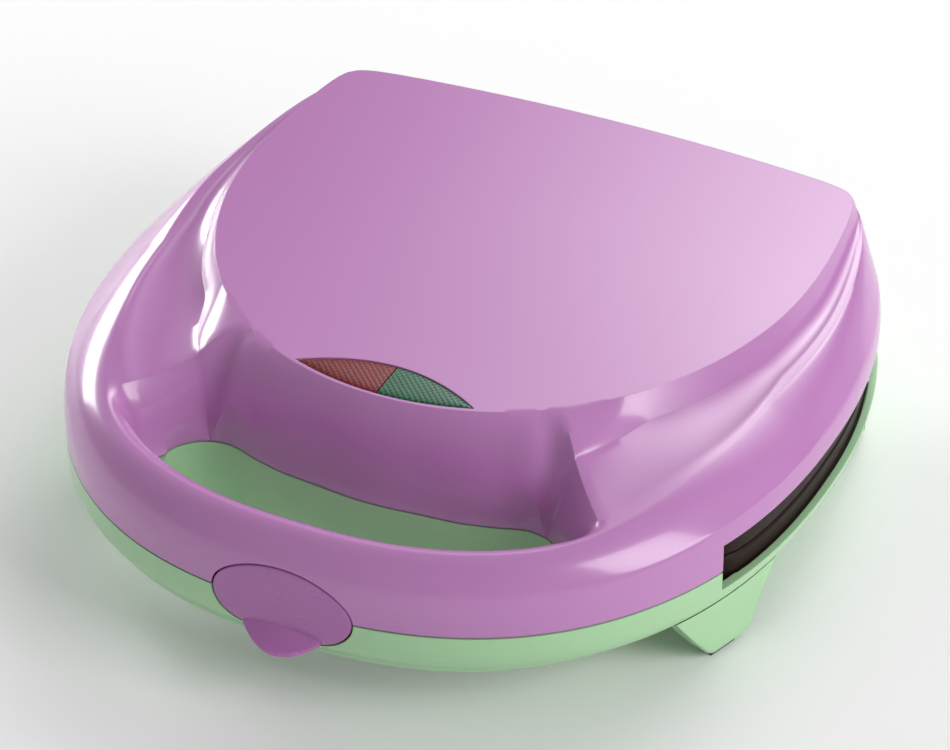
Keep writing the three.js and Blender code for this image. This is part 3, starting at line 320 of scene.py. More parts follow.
def base_rings(angles, shift, lift, top, fine):
    columns = []
    for angle in angles:
        section = base_section(angle)
        if fine:
            section = rounded(section, 1, 5, 5)
        columns.append([Vector(on_ray(angle, r - shift, top if k == 0 else z + lift))
                        for k, (r, z) in enumerate(section)])
    return [list(ring) for ring in zip(*columns)]


# ---------------------------------------------------------------- mesh tools
def mesh_object(name, verts, faces):
    mesh = bpy.data.meshes.new(name)
    mesh.from_pydata([tuple(v) for v in verts], [], faces)
    mesh.update()
    obj = bpy.data.objects.new(name, mesh)
    bpy.context.scene.collection.objects.link(obj)
    return obj


def loft(rings, flat=False):
    """Closed skin over rings of points; flat ends stay single polygons, others close on their middle."""
    count = len(rings[0])
    verts = [p for ring in rings for p in ring]
    faces = []
    for k in range(len(rings) - 1):
        for i in range(count):
            a, b = k * count + i, k * count + (i + 1) % count
            faces.append((a, a + count, b + count, b))
    for ring, turned in ((0, False), (len(rings) - 1, True)):
        ids = [ring * count + i for i in range(count)]
        if flat:
            faces.append(tuple(ids[::-1] if turned else ids))
            continue
        verts.append(sum((Vector(p) for p in rings[ring]), Vector()) / count)
        for a, b in zip(ids, ids[1:] + ids[:1]):
            faces.append((a, len(verts) - 1, b) if turned else (a, b, len(verts) - 1))
    obj = mesh_object("tool", verts, faces)
    if flat:
        triangulate(obj)
        face_out(obj)
    return obj


def face_out(obj):
    bm = bmesh.new()
    bm.from_mesh(obj.data)
    if bm.calc_volume(signed=True) < 0:
        bmesh.ops.reverse_faces(bm, faces=bm.faces)
    bm.to_mesh(obj.data)
    bm.free()


def prism(points, z0, z1):
    count = len(points)
    area = sum(points[i - 1][0] * points[i][1] - points[i][0] * points[i - 1][1] for i in range(count))
    if area < 0:
        points = points[::-1]
    verts = [(x, y, z0) for x, y in points] + [(x, y, z1) for x, y in points]
    faces = [tuple(range(count))[::-1], tuple(range(count, 2 * count))]
    faces += [(i, (i + 1) % count, (i + 1) % count + count, i + count) for i in range(count)]
    obj = mesh_object("tool", verts, faces)
    triangulate(obj)
    return obj


def triangulate(obj):
    bm = bmesh.new()
    bm.from_mesh(obj.data)
    bmesh.ops.triangulate(bm, faces=[f for f in bm.faces if len(f.verts) > 4])
    bm.to_mesh(obj.data)
    bm.free()


def block(x0, x1, y0, y1, z0, z1):
    return prism([(x0, y0), (x1, y0), (x1, y1), (x0, y1)], z0, z1)


def rod(radius, start, end, sides=48):
    start, end = Vector(start), Vector(end)
    turn = (end - start).to_track_quat("Z", "Y").to_matrix().to_4x4()
    circle = [(radius * math.cos(2 * math.pi * i / sides), radius * math.sin(2 * math.pi * i / sides))
              for i in range(sides)]
    obj = prism(circle, 0, (end - start).length)
    obj.data.transform(Matrix.Translation(start) @ turn)
    return obj


def torus(ring_radius, section, flatten, around=72, sides=28):
    verts, faces = [], []
    for i in range(around):
        for j in range(sides):
            u, v = 2 * math.pi * i / around, 2 * math.pi * j / sides
            r = ring_radius + section * math.cos(v)
            verts.append((r * math.cos(u), r * math.sin(u), section * flatten * math.sin(v)))
    for i in range(around):
        for j in range(sides):
            a, b = i * sides, ((i + 1) % around) * sides
            k = (j + 1) % sides
            faces.append((a + j, b + j, b + k, a + k))
    return mesh_object("tool", verts, faces)


def copy_at(obj, x=0, y=0, z=0):
    twin = obj.copy()
    twin.data = obj.data.copy()
    twin.data.transform(Matrix.Translation((x, y, z)))
    bpy.context.scene.collection.objects.link(twin)
    return twin


def drop(*objs):
    for obj in objs:
        mesh = obj.data
        bpy.data.objects.remove(obj)
        bpy.data.meshes.remove(mesh)


def combine(obj, tool, operation, keep=False, solver="MANIFOLD"):
    """Boolean of two closed meshes; the result stays in obj."""
    mod = obj.modifiers.new("cut", "BOOLEAN")
    mod.object, mod.operation, mod.solver = tool, operation, solver
    depsgraph = bpy.context.evaluated_depsgraph_get()
    made = bpy.data.meshes.new_from_object(obj.evaluated_get(depsgraph), depsgraph=depsgraph)
    obj.modifiers.clear()
    old = obj.data
    obj.data = made
    bpy.data.meshes.remove(old)
    if not keep:
        drop(tool)
    return obj


def cut(obj, tool, keep=False):
    return combine(obj, tool, "DIFFERENCE", keep)


def join(obj, tool, keep=False):
    return combine(obj, tool, "UNION", keep)


def common(obj, tool, keep=False):
    return combine(obj, tool, "INTERSECT", keep)


def plan_polygon(radius_of, angles):
    return [on_ray(a, radius_of(a), 0)[:2] for a in angles]


def oval(half_x, half_z, y0, y1, sides=96):
    ring = [(half_x * math.cos(2 * math.pi * i / sides), half_z * math.sin(2 * math.pi * i / sides))
            for i in range(sides)]
    obj = prism(ring, 0, y1 - y0)
    turn = Matrix(((1, 0, 0, 0), (0, 0, -1, y1), (0, 1, 0, LATCH_Z), (0, 0, 0, 1)))
    obj.data.transform(turn)
    return obj


def ear(x0, x1, side):
    """Hinge ear; side 1 hangs from the lid, -1 stands on the base."""
    reach = HINGE_OUT + REAR_BOW + WALL * 0.5
    points = [(-reach, side * 1.5), (-EAR_RADIUS, side * 1.0)]
    end = 0.35 * math.pi
    for i in range(1, 33):
        turn = math.pi + i / 32 * (end + math.pi)
        points.append((EAR_RADIUS * math.cos(turn), side * EAR_RADIUS * math.sin(turn)))
    points.append((-reach, side * EAR_REACH))
    obj = prism(points, x0, x1)
    obj.data.transform(Matrix(((0, 0, 1, 0), (1, 0, 0, AXIS_Y), (0, 1, 0, 0), (0, 0, 0, 1))))
    return obj


def lens_points(margin, steps=40):
    """Outline of the whole lens, front edge from left to right and back along the rear edge."""
    half = LENS_HALF_X + margin
    low = [mix(-half, half, i / steps) for i in range(steps + 1)]
    high = [mix(half, -half, i / steps) for i in range(1, steps)]
    points = [(x, LENS_Y - (LENS_FRONT_BULGE + margin) * (1 - (x / half) ** 2)) for x in low]
    points += [(x, LENS_Y + (LENS_REAR_BULGE + margin) * (1 - (x / half) ** 2)) for x in high]
    return points


LID_STEPS = (12, 9, 9, 14, 6)
PANEL_SHARES = (0.15, 0.4, 0.62, 0.8, 0.92, 0.98)
FINE = ray_angles(336)
MEDIUM = ray_angles(168)
POCKET_BACK = -FRONT_REACH + LATCH_POCKET
PIN_Y = -FRONT_REACH + LATCH_PIN_IN


def hinge_bore():
    return rod(HINGE_PIN_RADIUS + RUN, (-FAR, AXIS_Y, 0), (FAR, AXIS_Y, 0))


def latch_block():
    """Solid stretch that both shells keep behind the latch."""
    side = LATCH_HALF_X + 5
    return block(-side, side, -FAR, -FRONT_REACH + HANDLE_WIDTH + 3, -THROUGH, THROUGH)


def side_opening(obj, z0, z1):
    """Cuts the slots at both sides that show the edges of the plates."""
    cut(obj, block(SIDE_OPEN_IN, FAR, SIDE_OPEN_FRONT, SIDE_OPEN_REAR, z0, z1))
    return cut(obj, block(-FAR, -SIDE_OPEN_IN, SIDE_OPEN_FRONT, SIDE_OPEN_REAR, z0, z1))


def lid_outer():
    rings = lid_rings(FINE, LID_STEPS, PANEL_SHARES, 0)
    return common(loft(rings), block(-FAR, FAR, -FAR, FAR, -3, FAR))


def base_outer(top=3):
    return loft(base_rings(FINE, 0, 0, top, True))


def whole_block():
    """Lid and base as one solid, for trimming what follows their surface."""
    lid = lid_rings(FINE, LID_STEPS, PANEL_SHARES, 0)[:-1]
    return loft(lid + base_rings(FINE, 0, 0, 0, True))


def chamber(z0, z1):
    """Room for a baking plate with its gap."""
    return prism(plan_polygon(lambda a: plate_radius(a, PLATE_INSET - CHAMBER_GAP), MEDIUM), z0, z1)


def lid_shell():
    """Hollow lid with its hinge ears, hand hole, lens window and latch pocket."""
    body = lid_outer()
    inner = loft(lid_rings(MEDIUM, (4, 3, 3, 4, 2), [0.5], WALL))
    common(inner, block(-FAR, FAR, -FAR, FAR, WALL, FAR))
    join(inner, chamber(-5, SIDE_OPEN_UP + 2))
    cut(inner, prism(hole_points(WALL), -THROUGH, THROUGH))
    cut(inner, latch_block())
    cut(body, inner)
    cut(body, prism(hole_points(0), -THROUGH, THROUGH))
    for side in (-1, 1):
        x = side * HINGE_X
        join(body, ear(x - LID_EAR_WIDTH / 2, x + LID_EAR_WIDTH / 2, 1))
    cut(body, block(-FAR, FAR, -FAR, REAR_REACH + 0.2, -FAR, SEAM))
    side_opening(body, -5, SIDE_OPEN_UP)
    cut(body, prism(lens_points(GAP), LID_HEIGHT - 8, LID_HEIGHT + 8))
    cut(body, oval(LATCH_HALF_X + GAP + 0.15, LATCH_HALF_Z + GAP + 0.15, -FAR, POCKET_BACK))
    return cut(body, hinge_bore())


def post_spots():
    return [(side * x, y) for side in (-1, 1) for x, y in SCREW_SPOTS]


def cover_outline(margin):
    corners = [(COVER_HALF_X * 0.72, COVER_FRONT), (COVER_HALF_X, COVER_FRONT + 34),
               (COVER_HALF_X, COVER_REAR - 16), (COVER_HALF_X - 12, COVER_REAR)]
    grown = [(x + margin, y + math.copysign(margin, y - CENTRE_Y)) for x, y in corners]
    return grown + [(-x, y) for x, y in reversed(grown)]


def base_shell():
    """Hollow base with its hinge ears, screw posts, hand hole, latch slot and cord hole."""
    body = base_outer()
    inner = loft(base_rings(MEDIUM, WALL, WALL, 3, True))
    common(inner, block(-FAR, FAR, -FAR, FAR, -FAR, -WALL))
    join(inner, chamber(-SKIRT_HEIGHT - 3, 5))
    cut(inner, prism(hole_points(WALL), -THROUGH, THROUGH))
    cut(inner, latch_block())
    cut(body, inner)
    cut(body, prism(hole_points(0), -THROUGH, THROUGH))
    near = LID_EAR_WIDTH / 2 + GAP
    for side in (-1, 1):
        x = side * HINGE_X
        join(body, ear(x - near - EAR_WIDTH, x - near, -1))
        join(body, ear(x + near, x + near + EAR_WIDTH, -1))
    for x, y in post_spots():
        join(body, rod(POST_RADIUS, (x, y, -BASE_DEPTH + COVER_THICK + GAP), (x, y, -1)))
    cut(body, prism(cover_outline(GAP), -FAR, -BASE_DEPTH + COVER_THICK + GAP))
    cut(body, block(-FAR, FAR, -FAR, REAR_REACH + 0.3, -SEAM, FAR))
    side_opening(body, -SIDE_OPEN_DOWN, 5)
    cut(body, oval(LATCH_HALF_X + GAP + 0.15, LATCH_HALF_Z + GAP + 0.15, -FAR, POCKET_BACK))
    front = POCKET_BACK - 0.4
    under = ARM_TOP - GAP - 1.4
    cut(body, block(-8 - GAP, 8 + GAP, front - GAP, front + 5 + GAP, under - GAP, under + 8))
    wall = REAR_REACH - REAR_BOW * (GROMMET_X / (BODY_WIDTH / 2)) ** 2
    cord_start = (GROMMET_X, wall - 14, -GROMMET_DROP)
    cord_end = (GROMMET_X, wall + 6, -GROMMET_DROP)
    cut(body, rod(GROMMET_RADIUS + GAP, cord_start, cord_end))
    return cut(body, hinge_bore())


def thumb_tab():
    """Lip that swells out of the lower edge of the latch and fades to both sides."""
    half = TAB_SIZE[0] + 0.6
    rings = []
    for i in range(65):
        x = mix(-half, half, i / 64)
        swell = math.cos(math.pi / 2 * x / (half + 0.05)) ** 0.85
        out = mix(-0.8, TAB_REACH, swell)
        edge = LATCH_Z - LATCH_HALF_Z * math.sqrt(1 - (x / LATCH_HALF_X) ** 2)
        low = edge + 0.4 - 2.6 * swell
        top = mix(low + 1.2, -5.2, swell ** 0.6)
        lip = mix(low + 0.8, low + 3.6, swell)
        upper = [(-1.2, top), (out * 0.10, mix(top, lip, 0.55)),
                 (out * 0.38, mix(top, lip, 0.86)), (out * 0.8, lip)]
        nose = [(out * 0.8, lip), (out * 0.99, lip - 0.3 * swell),
                (out * 1.05, lip - 1.8 * swell), (out * 0.8, low + 0.7 * swell)]
        under = [(out * 0.8, low + 0.7 * swell), (out * 0.5, low), (out * 0.2, low), (-1.5, low)]
        section = [bezier(upper, k / 14) for k in range(15)]
        section += [bezier(nose, k / 12) for k in range(1, 13)]
        section += [bezier(under, k / 6) for k in range(1, 7)]
        section += [[-4, low], [-4, top]]
        rings.append([Vector((x, -FRONT_REACH - o, z)) for o, z in section])
    return loft(rings, flat=True)


def front_inset(z):
    """How far the front of the body lies inside its widest outline at a height."""
    lid = lid_section(0, LID_STEPS)
    outer = lid[-1][0]
    near_edge = 3 * LATCH_THICK
    side = [(r, h) for r, h in lid if r > outer - near_edge and h <= HANDLE_CREST]
    side += rounded(base_section(0), 1, 5, 5)
    for (r0, z0), (r1, z1) in zip(side, side[1:]):
        if z1 <= z <= z0 and z0 > z1:
            return outer - mix(r0, r1, (z0 - z) / (z0 - z1))
    return 0


def latch_face(x, z):
    """Front of the body above a point of the latch; a few passes settle its angle."""
    y = -FRONT_REACH
    for _ in range(4):
        angle = math.atan2(x, CENTRE_Y - y)
        y = on_ray(angle, plan_radius(HOUSING, angle) - front_inset(z), 0)[1]
    return y


def latch_plate():
    """Oval plate that follows the front of the body, with a rolled rim."""
    back = [(share, LATCH_THICK) for share in (0.3, 0.7, 0.98, 1)]
    rim = [(1, 0.45), (0.9965, 0.2), (0.988, 0.05), (0.97, 0)]
    face = [(share / 24, 0) for share in range(23, 1, -1)]
    rings = []
    count = 120
    for share, inward in back + rim + face:
        ring = []
        for i in range(count):
            turn = 2 * math.pi * i / count
            x = share * LATCH_HALF_X * math.cos(turn)
            z = LATCH_Z + share * LATCH_HALF_Z * math.sin(turn)
            ring.append(Vector((x, latch_face(x, z) + inward, z)))
        rings.append(ring)
    plate = loft(rings)
    face_out(plate)
    return plate


def latch_body():
    """Latch plate with its thumb lip, the barrel round its pin, and the arm with the barb."""
    body = latch_plate()
    both = whole_block()
    barrel = rod(BARREL_RADIUS, (-16, PIN_Y, LATCH_PIN_Z), (16, PIN_Y, LATCH_PIN_Z))
    deep = copy_at(both, y=0.8)
    common(barrel, deep)
    common(barrel, oval(LATCH_HALF_X - 0.6, LATCH_HALF_Z - 0.6, -FAR, 0))
    grip = thumb_tab()
    clear = copy_at(both, z=-GAP - 0.2)
    join(clear, copy_at(both, y=-GAP - 0.2))
    cut(clear, oval(LATCH_HALF_X, LATCH_HALF_Z, -FAR, 0))
    cut(grip, clear)
    cut(grip, block(-FAR, FAR, -FRONT_REACH + LATCH_THICK, FAR, -FAR, FAR))
    arm_back = -FRONT_REACH + ARM_DEPTH + 2.4
    barb_front = arm_back - 1.4
    arm = block(-ARM_HALF_X, ARM_HALF_X, -FRONT_REACH + 2.6, arm_back, ARM_TOP - 5, ARM_TOP - 2)
    join(arm, block(-ARM_HALF_X, ARM_HALF_X, barb_front, barb_front + BARB_LENGTH,
                    ARM_TOP - 5, ARM_TOP - 5 + BARB_HEIGHT))
    join(grip, arm)
    join(grip, barrel)
    combine(body, grip, "UNION", solver="EXACT")
    drop(both)
    return body


def ring_spots():
    return [(c * RING_PITCH_X, RING_FRONT_Y + r * RING_PITCH_Y) for r in (0, 1) for c in (-1, 0, 1)]


def plate_screw_spots():
    return [(side * x, y) for side in (-1, 1) for x, y in PLATE_SCREW_SPOTS]


def baking_plate(side):
    """Cast plate with rolled rims round its ring moulds; side 1 is the lid's, -1 the base's."""
    face = plan_polygon(lambda a: plate_radius(a, PLATE_INSET), MEDIUM)
    soft = plan_polygon(lambda a: plate_radius(a, PLATE_INSET + 0.7), MEDIUM)
    rings = [[Vector((x, y, z)) for x, y in ring] for ring, z in
             ((face, SEAM + SKIRT_HEIGHT), (face, SEAM + 0.7), (soft, SEAM))]
    plate = loft(rings)
    hollow = plan_polygon(lambda a: plate_radius(a, PLATE_INSET + SKIRT_THICK), MEDIUM)
    cut(plate, prism(hollow, SEAM + PLATE_THICK, FAR))
    outer = common(torus(RING_RADIUS, RING_SECTION + RING_WALL, RING_FLATTEN),
                   block(-FAR, FAR, -FAR, FAR, SEAM + 0.5, FAR))
    inner = torus(RING_RADIUS, RING_SECTION, RING_FLATTEN)
    for x, y in ring_spots():
        join(plate, copy_at(outer, x, y, SEAM))
    for x, y in ring_spots():
        cut(plate, copy_at(inner, x, y, SEAM))
    drop(outer, inner)
    for x, y in plate_screw_spots():
        join(plate, rod(POST_RADIUS - 0.5, (x, y, SEAM + 1), (x, y, 20.6)))
        cut(plate, rod(SCREW_RADIUS + RUN, (x, y, 9), (x, y, FAR)))
    if side < 0:
        plate.data.transform(Matrix.Diagonal((1, 1, -1, 1)))
        plate.data.flip_normals()
    return plate


def lens_half(side):
    """Lens half with a low dome; side -1 is the left one."""
    points = lens_points(0, steps=64)
    middle = LENS_Y + (LENS_REAR_BULGE - LENS_FRONT_BULGE) / 2
    rings = []
    for share, z in ((1, LID_HEIGHT - LENS_THICK), (1, LID_HEIGHT - 0.25), (0.97, LID_HEIGHT + 0.05),
                     (0.9, LID_HEIGHT + 0.15), (0.6, LID_HEIGHT + 0.22), (0.2, LID_HEIGHT + 0.25)):
        rings.append([Vector((x * share, mix(middle, y, share), z)) for x, y in points])
    body = loft(rings[::-1])
    if side > 0:
        return cut(body, block(-FAR, GAP / 2, -FAR, FAR, 0, FAR))
    return cut(body, block(-GAP / 2, FAR, -FAR, FAR, 0, FAR))


def plan_tangent(angle):
    a = Vector(on_ray(angle - 0.05, plan_radius(HOUSING, angle - 0.05), 0))
    b = Vector(on_ray(angle + 0.05, plan_radius(HOUSING, angle + 0.05), 0))
    return (b - a).normalized()


def cubic(a, b, c, d, count):
    return [bezier((a, b, c, d), i / count) for i in range(1, count + 1)]


def quad(a, b, c, count):
    m1 = (a[0] + (b[0] - a[0]) * 2 / 3, a[1] + (b[1] - a[1]) * 2 / 3)
    m2 = (c[0] + (b[0] - c[0]) * 2 / 3, c[1] + (b[1] - c[1]) * 2 / 3)
    return cubic(a, m1, m2, c, count)


def foot_outline():
    """Side view of a foot: wide at the body, drawn in to a short flat toe."""
    half, toe, low = FOOT_TOP / 2, FOOT_BOTTOM / 2, PART_Z - PAD_THICK - GAP
    p = [(-half, -10)]
    p += cubic(p[-1], (-half * 0.78, -18), (-toe - 6, -25), (-toe - 1, -low + 3.5), 18)
    p += quad(p[-1], (-toe + 1.5, -low), (-toe + 4, -low), 8)
    p.append((toe - 3.5, -low))
    p += quad(p[-1], (toe + 1.5, -low), (toe + 3, -low + 5.5), 8)
    p += cubic(p[-1], (toe + 4.5, -low + 11), (half * 0.75, -19.5), (half, -10), 18)
    return p


def inset(outline, amount):
    """Outline moved inward along its normals."""
    ring = []
    for i, p in enumerate(outline):
        t = (outline[(i + 1) % len(outline)] - outline[i - 1]).normalized()
        ring.append(p + Vector((-t.y, t.x)) * amount)
    return ring


def foot(angle_degrees, side):
    """Fin-shaped foot with rolled edges, trimmed under the rounded edge of the base."""
    angle = math.radians(angle_degrees)
    outline = [Vector((x, z)) for x, z in foot_outline()]
    rings = []
    for depth, amount in ((0, 1.3), (0.25, 0.6), (0.65, 0.2), (1.2, 0), (FOOT_THICK - 1.2, 0),
                          (FOOT_THICK - 0.65, 0.2), (FOOT_THICK - 0.25, 0.6), (FOOT_THICK, 1.3)):
        rings.append([Vector((p.x, -depth, p.y)) for p in inset(outline, amount)])
    body = loft(rings, flat=True)
    tangent = plan_tangent(angle)
    at = on_ray(angle, plan_radius(HOUSING, angle) - FOOT_INSET, 0)
    body.data.transform(Matrix.Translation(at) @ Matrix.Rotation(math.atan2(tangent.y, tangent.x), 4, "Z"))
    common(body, prism(plan_polygon(lambda a: plan_radius(HOUSING, a) - FOOT_EDGE_INSET, MEDIUM), -FAR, FAR))
    if side < 0:
        body.data.transform(Matrix.Diagonal((-1, 1, 1, 1)))
        body.data.flip_normals()
    base = base_outer()
    base.data.transform(Matrix.Translation((0, 0, -GAP)))
    return cut(body, base)


# ---------------------------------------------------------------- materials
def srgb(r, g, b):
    """Linear colour of an 8-bit sRGB one."""
    return tuple(((c / 255 + 0.055) / 1.055) ** 2.4 if c > 10 else c / 255 / 12.92 for c in (r, g, b)) + (1,)


def new_material(name):
    mat = bpy.data.materials.new(name)
    mat.use_nodes = True
    tree = mat.node_tree
    shader = tree.nodes["Principled BSDF"]
    return mat, tree, shader


def node(tree, kind, **values):
    """New shader node with properties or inputs set by name."""
    made = tree.nodes.new(kind)
    for key, value in values.items():
        if hasattr(made, key):
            setattr(made, key, value)
        else:
            made.inputs[key.replace("_", " ")].default_value = value
    return made


def tinted(tree, shader, color, spread, scale, low, high, bump, bump_scale):
    """Colour drift, uneven gloss and a fine surface for a moulded or coated skin."""
    where = node(tree, "ShaderNodeTexCoord")
    drift = node(tree, "ShaderNodeTexNoise", Scale=scale, Detail=3.0)
    tree.links.new(where.outputs["Object"], drift.inputs["Vector"])
    ramp = node(tree, "ShaderNodeValToRGB")
    for stop, factor in zip(ramp.color_ramp.elements, (1 - spread, 1 + spread)):
        stop.color = tuple(min(c * factor, 1) for c in color[:3]) + (1,)
    tree.links.new(drift.outputs["Fac"], ramp.inputs["Fac"])
    tree.links.new(ramp.outputs["Color"], shader.inputs["Base Color"])
    smear = node(tree, "ShaderNodeTexNoise", Scale=scale * 6, Detail=5.0)
    tree.links.new(where.outputs["Object"], smear.inputs["Vector"])
    gloss = node(tree, "ShaderNodeMapRange")
    gloss.inputs["To Min"].default_value = low
    gloss.inputs["To Max"].default_value = high
    tree.links.new(smear.outputs["Fac"], gloss.inputs["Value"])
    tree.links.new(gloss.outputs["Result"], shader.inputs["Roughness"])
    grain = node(tree, "ShaderNodeTexNoise", Scale=bump_scale, Detail=4.0)
    tree.links.new(where.outputs["Object"], grain.inputs["Vector"])
    relief = node(tree, "ShaderNodeBump", Strength=bump, Distance=0.0002)
    tree.links.new(grain.outputs["Fac"], relief.inputs["Height"])
    edge = node(tree, "ShaderNodeBevel", samples=4)
    edge.inputs["Radius"].default_value = 0.0006
    tree.links.new(edge.outputs["Normal"], relief.inputs["Normal"])
    tree.links.new(relief.outputs["Normal"], shader.inputs["Normal"])
    return where


def plastic(name, color, low, high, coat):
    mat, tree, shader = new_material(name)
    tinted(tree, shader, color, 0.02, 9.0, low, high, 0.05, 900.0)
    shader.inputs["Coat Weight"].default_value = coat
    shader.inputs["Coat Roughness"].default_value = 0.1
    shader.inputs["IOR"].default_value = 1.5
    return mat


def metal(name, color, low, high, bump, scale):
    mat, tree, shader = new_material(name)
    tinted(tree, shader, color, 0.06, 30.0, low, high, bump, scale)
    shader.inputs["Metallic"].default_value = 1.0
    return mat


def coating():
    mat, tree, shader = new_material("nonstick_coat")
    tinted(tree, shader, srgb(34, 12, 12), 0.15, 40.0, 0.4, 0.55, 0.3, 1600.0)
    shader.inputs["Specular IOR Level"].default_value = 0.22
    return mat


def lens_material(name, deep, bright):
    mat, tree, shader = new_material(name)
    where = node(tree, "ShaderNodeTexCoord")
    turn = node(tree, "ShaderNodeMapping")
    turn.inputs["Rotation"].default_value = (0, 0, math.radians(45))
    turn.inputs["Scale"].default_value = (1000 / 1.5, 1000 / 1.5, 1000 / 1.5)
    tree.links.new(where.outputs["Object"], turn.inputs["Vector"])
    split = node(tree, "ShaderNodeSeparateXYZ")
    tree.links.new(turn.outputs["Vector"], split.inputs["Vector"])
    waves = []
    for axis in ("X", "Y"):
        wave = node(tree, "ShaderNodeMath", operation="PINGPONG")
        wave.inputs[1].default_value = 0.5
        tree.links.new(split.outputs[axis], wave.inputs[0])
        waves.append(wave)
    both = node(tree, "ShaderNodeMath", operation="ADD")
    tree.links.new(waves[0].outputs[0], both.inputs[0])
    tree.links.new(waves[1].outputs[0], both.inputs[1])
    cloud = node(tree, "ShaderNodeTexNoise", Scale=60.0, Detail=2.0)
    tree.links.new(where.outputs["Object"], cloud.inputs["Vector"])
    blend = node(tree, "ShaderNodeMath", operation="MULTIPLY_ADD")
    tree.links.new(cloud.outputs["Fac"], blend.inputs[0])
    blend.inputs[1].default_value = 0.5
    tree.links.new(both.outputs[0], blend.inputs[2])
    ramp = node(tree, "ShaderNodeValToRGB")
    ramp.color_ramp.elements[0].color = deep
    ramp.color_ramp.elements[1].color = bright
    ramp.color_ramp.elements[0].position = 0.35
    ramp.color_ramp.elements[1].position = 1.0
    tree.links.new(blend.outputs[0], ramp.inputs["Fac"])
    tree.links.new(ramp.outputs["Color"], shader.inputs["Base Color"])
    relief = node(tree, "ShaderNodeBump", Strength=0.35, Distance=0.0003)
    tree.links.new(both.outputs[0], relief.inputs["Height"])
    tree.links.new(relief.outputs["Normal"], shader.inputs["Normal"])
    shader.inputs["Roughness"].default_value = 0.3
    shader.inputs["Coat Weight"].default_value = 0.5
    shader.inputs["Coat Roughness"].default_value = 0.08
    return mat


LILAC = plastic("lilac_plastic", srgb(192, 130, 190), 0.22, 0.28, 0.5)
LATCH = plastic("latch_plastic", srgb(178, 108, 176), 0.24, 0.31, 0.45)
MINT = plastic("mint_plastic", srgb(170, 214, 166), 0.28, 0.36, 0.3)
BLACK = plastic("black_plastic", srgb(34, 34, 36), 0.45, 0.6, 0.0)
RUBBER = plastic("rubber", srgb(52, 52, 54), 0.7, 0.85, 0.0)
CERAMIC = plastic("ceramic", srgb(226, 220, 206), 0.5, 0.65, 0.0)
LAMP = plastic("lamp_glass", srgb(240, 205, 160), 0.1, 0.16, 0.5)
STEEL = metal("steel", srgb(196, 198, 200), 0.22, 0.36, 0.1, 500.0)
ALUMINIUM = metal("aluminium", srgb(214, 216, 218), 0.28, 0.42, 0.15, 300.0)
COATING = coating()
RED = lens_material("red_lens", srgb(60, 3, 6), srgb(140, 14, 20))
GREEN = lens_material("green_lens", srgb(0, 42, 25), srgb(3, 108, 70))

SLOT_LOOK = {
    "lilac_plastic": LILAC, "latch_plastic": LATCH, "mint_plastic": MINT, "nonstick": COATING,
    "aluminium": ALUMINIUM, "steel": STEEL, "red_lens": RED, "green_lens": GREEN, "black_plastic": BLACK,
    "rubber": RUBBER, "ceramic": CERAMIC, "lamp_glass": LAMP,
}
NODE_SLOT = {s["node"]: s["material_slot"] for s in frame["record"]["subparts"]}


def finish_piece(obj, name, body, *replaced, slot=None, sharp=32, weighted=False):
    """Turns a piece drawn in plan millimetres into a shown one on its body."""
    obj.name = name
    obj.data.name = name
    obj.data.transform(Matrix.Scale(MM, 4) @ Matrix.Translation((0, SHIFT_Y, PART_Z)))
    obj.data.materials.clear()
    used = slot or NODE_SLOT[replaced[0]]
    obj.data.materials.append(SLOT_LOOK[used])
    obj.data.shade_smooth()
    obj.data.set_sharp_from_angle(angle=math.radians(sharp))
    if weighted:
        obj.modifiers.new("weighted", "WEIGHTED_NORMAL").keep_sharp = True
    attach(obj, body)
    if replaced:
        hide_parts(*replaced)
    return obj


finish_piece(lid_shell(), "lid_shell_fine", "lid", "lid_shell")
finish_piece(base_shell(), "base_shell_fine", "base", "base_shell")
finish_piece(latch_body(), "latch_fine", "latch", "latch")
finish_piece(baking_plate(1), "upper_baking_plate_fine", "lid", "upper_baking_plate")
finish_piece(baking_plate(-1), "lower_baking_plate_fine", "base", "lower_baking_plate")
finish_piece(lens_half(-1), "lens_left_red_fine", "lid", "lens_left_red", sharp=50)
finish_piece(lens_half(1), "lens_right_green_fine", "lid", "lens_right_green", sharp=50)
for side, hand in ((-1, "left"), (1, "right")):
    for angle, end in ((FOOT_ANGLE_FRONT, "front"), (FOOT_ANGLE_REAR, "rear")):
        foot_name = f"foot_{end}_{hand}"
        finish_piece(foot(angle, side), foot_name + "_fine", "base", foot_name, sharp=50, weighted=True)

for name, obj in NODES.items():
    look = SLOT_LOOK[NODE_SLOT[name]]
    if not obj.data.materials:
        obj.data.materials.append(look)
    for i in range(len(obj.data.materials)):
        obj.data.materials[i] = look

# ---------------------------------------------------------------- stage
scene = bpy.context.scene


def area_light(name, at, target, size, power):
    light = bpy.data.lights.new(name, "AREA")
    light.shape = "RECTANGLE"
    light.size, light.size_y = size
    light.energy = power
    obj = bpy.data.objects.new(name, light)
    obj.location = at
    obj.rotation_euler = (Vector(target) - Vector(at)).to_track_quat("-Z", "Y").to_euler()
    scene.collection.objects.link(obj)
    return obj


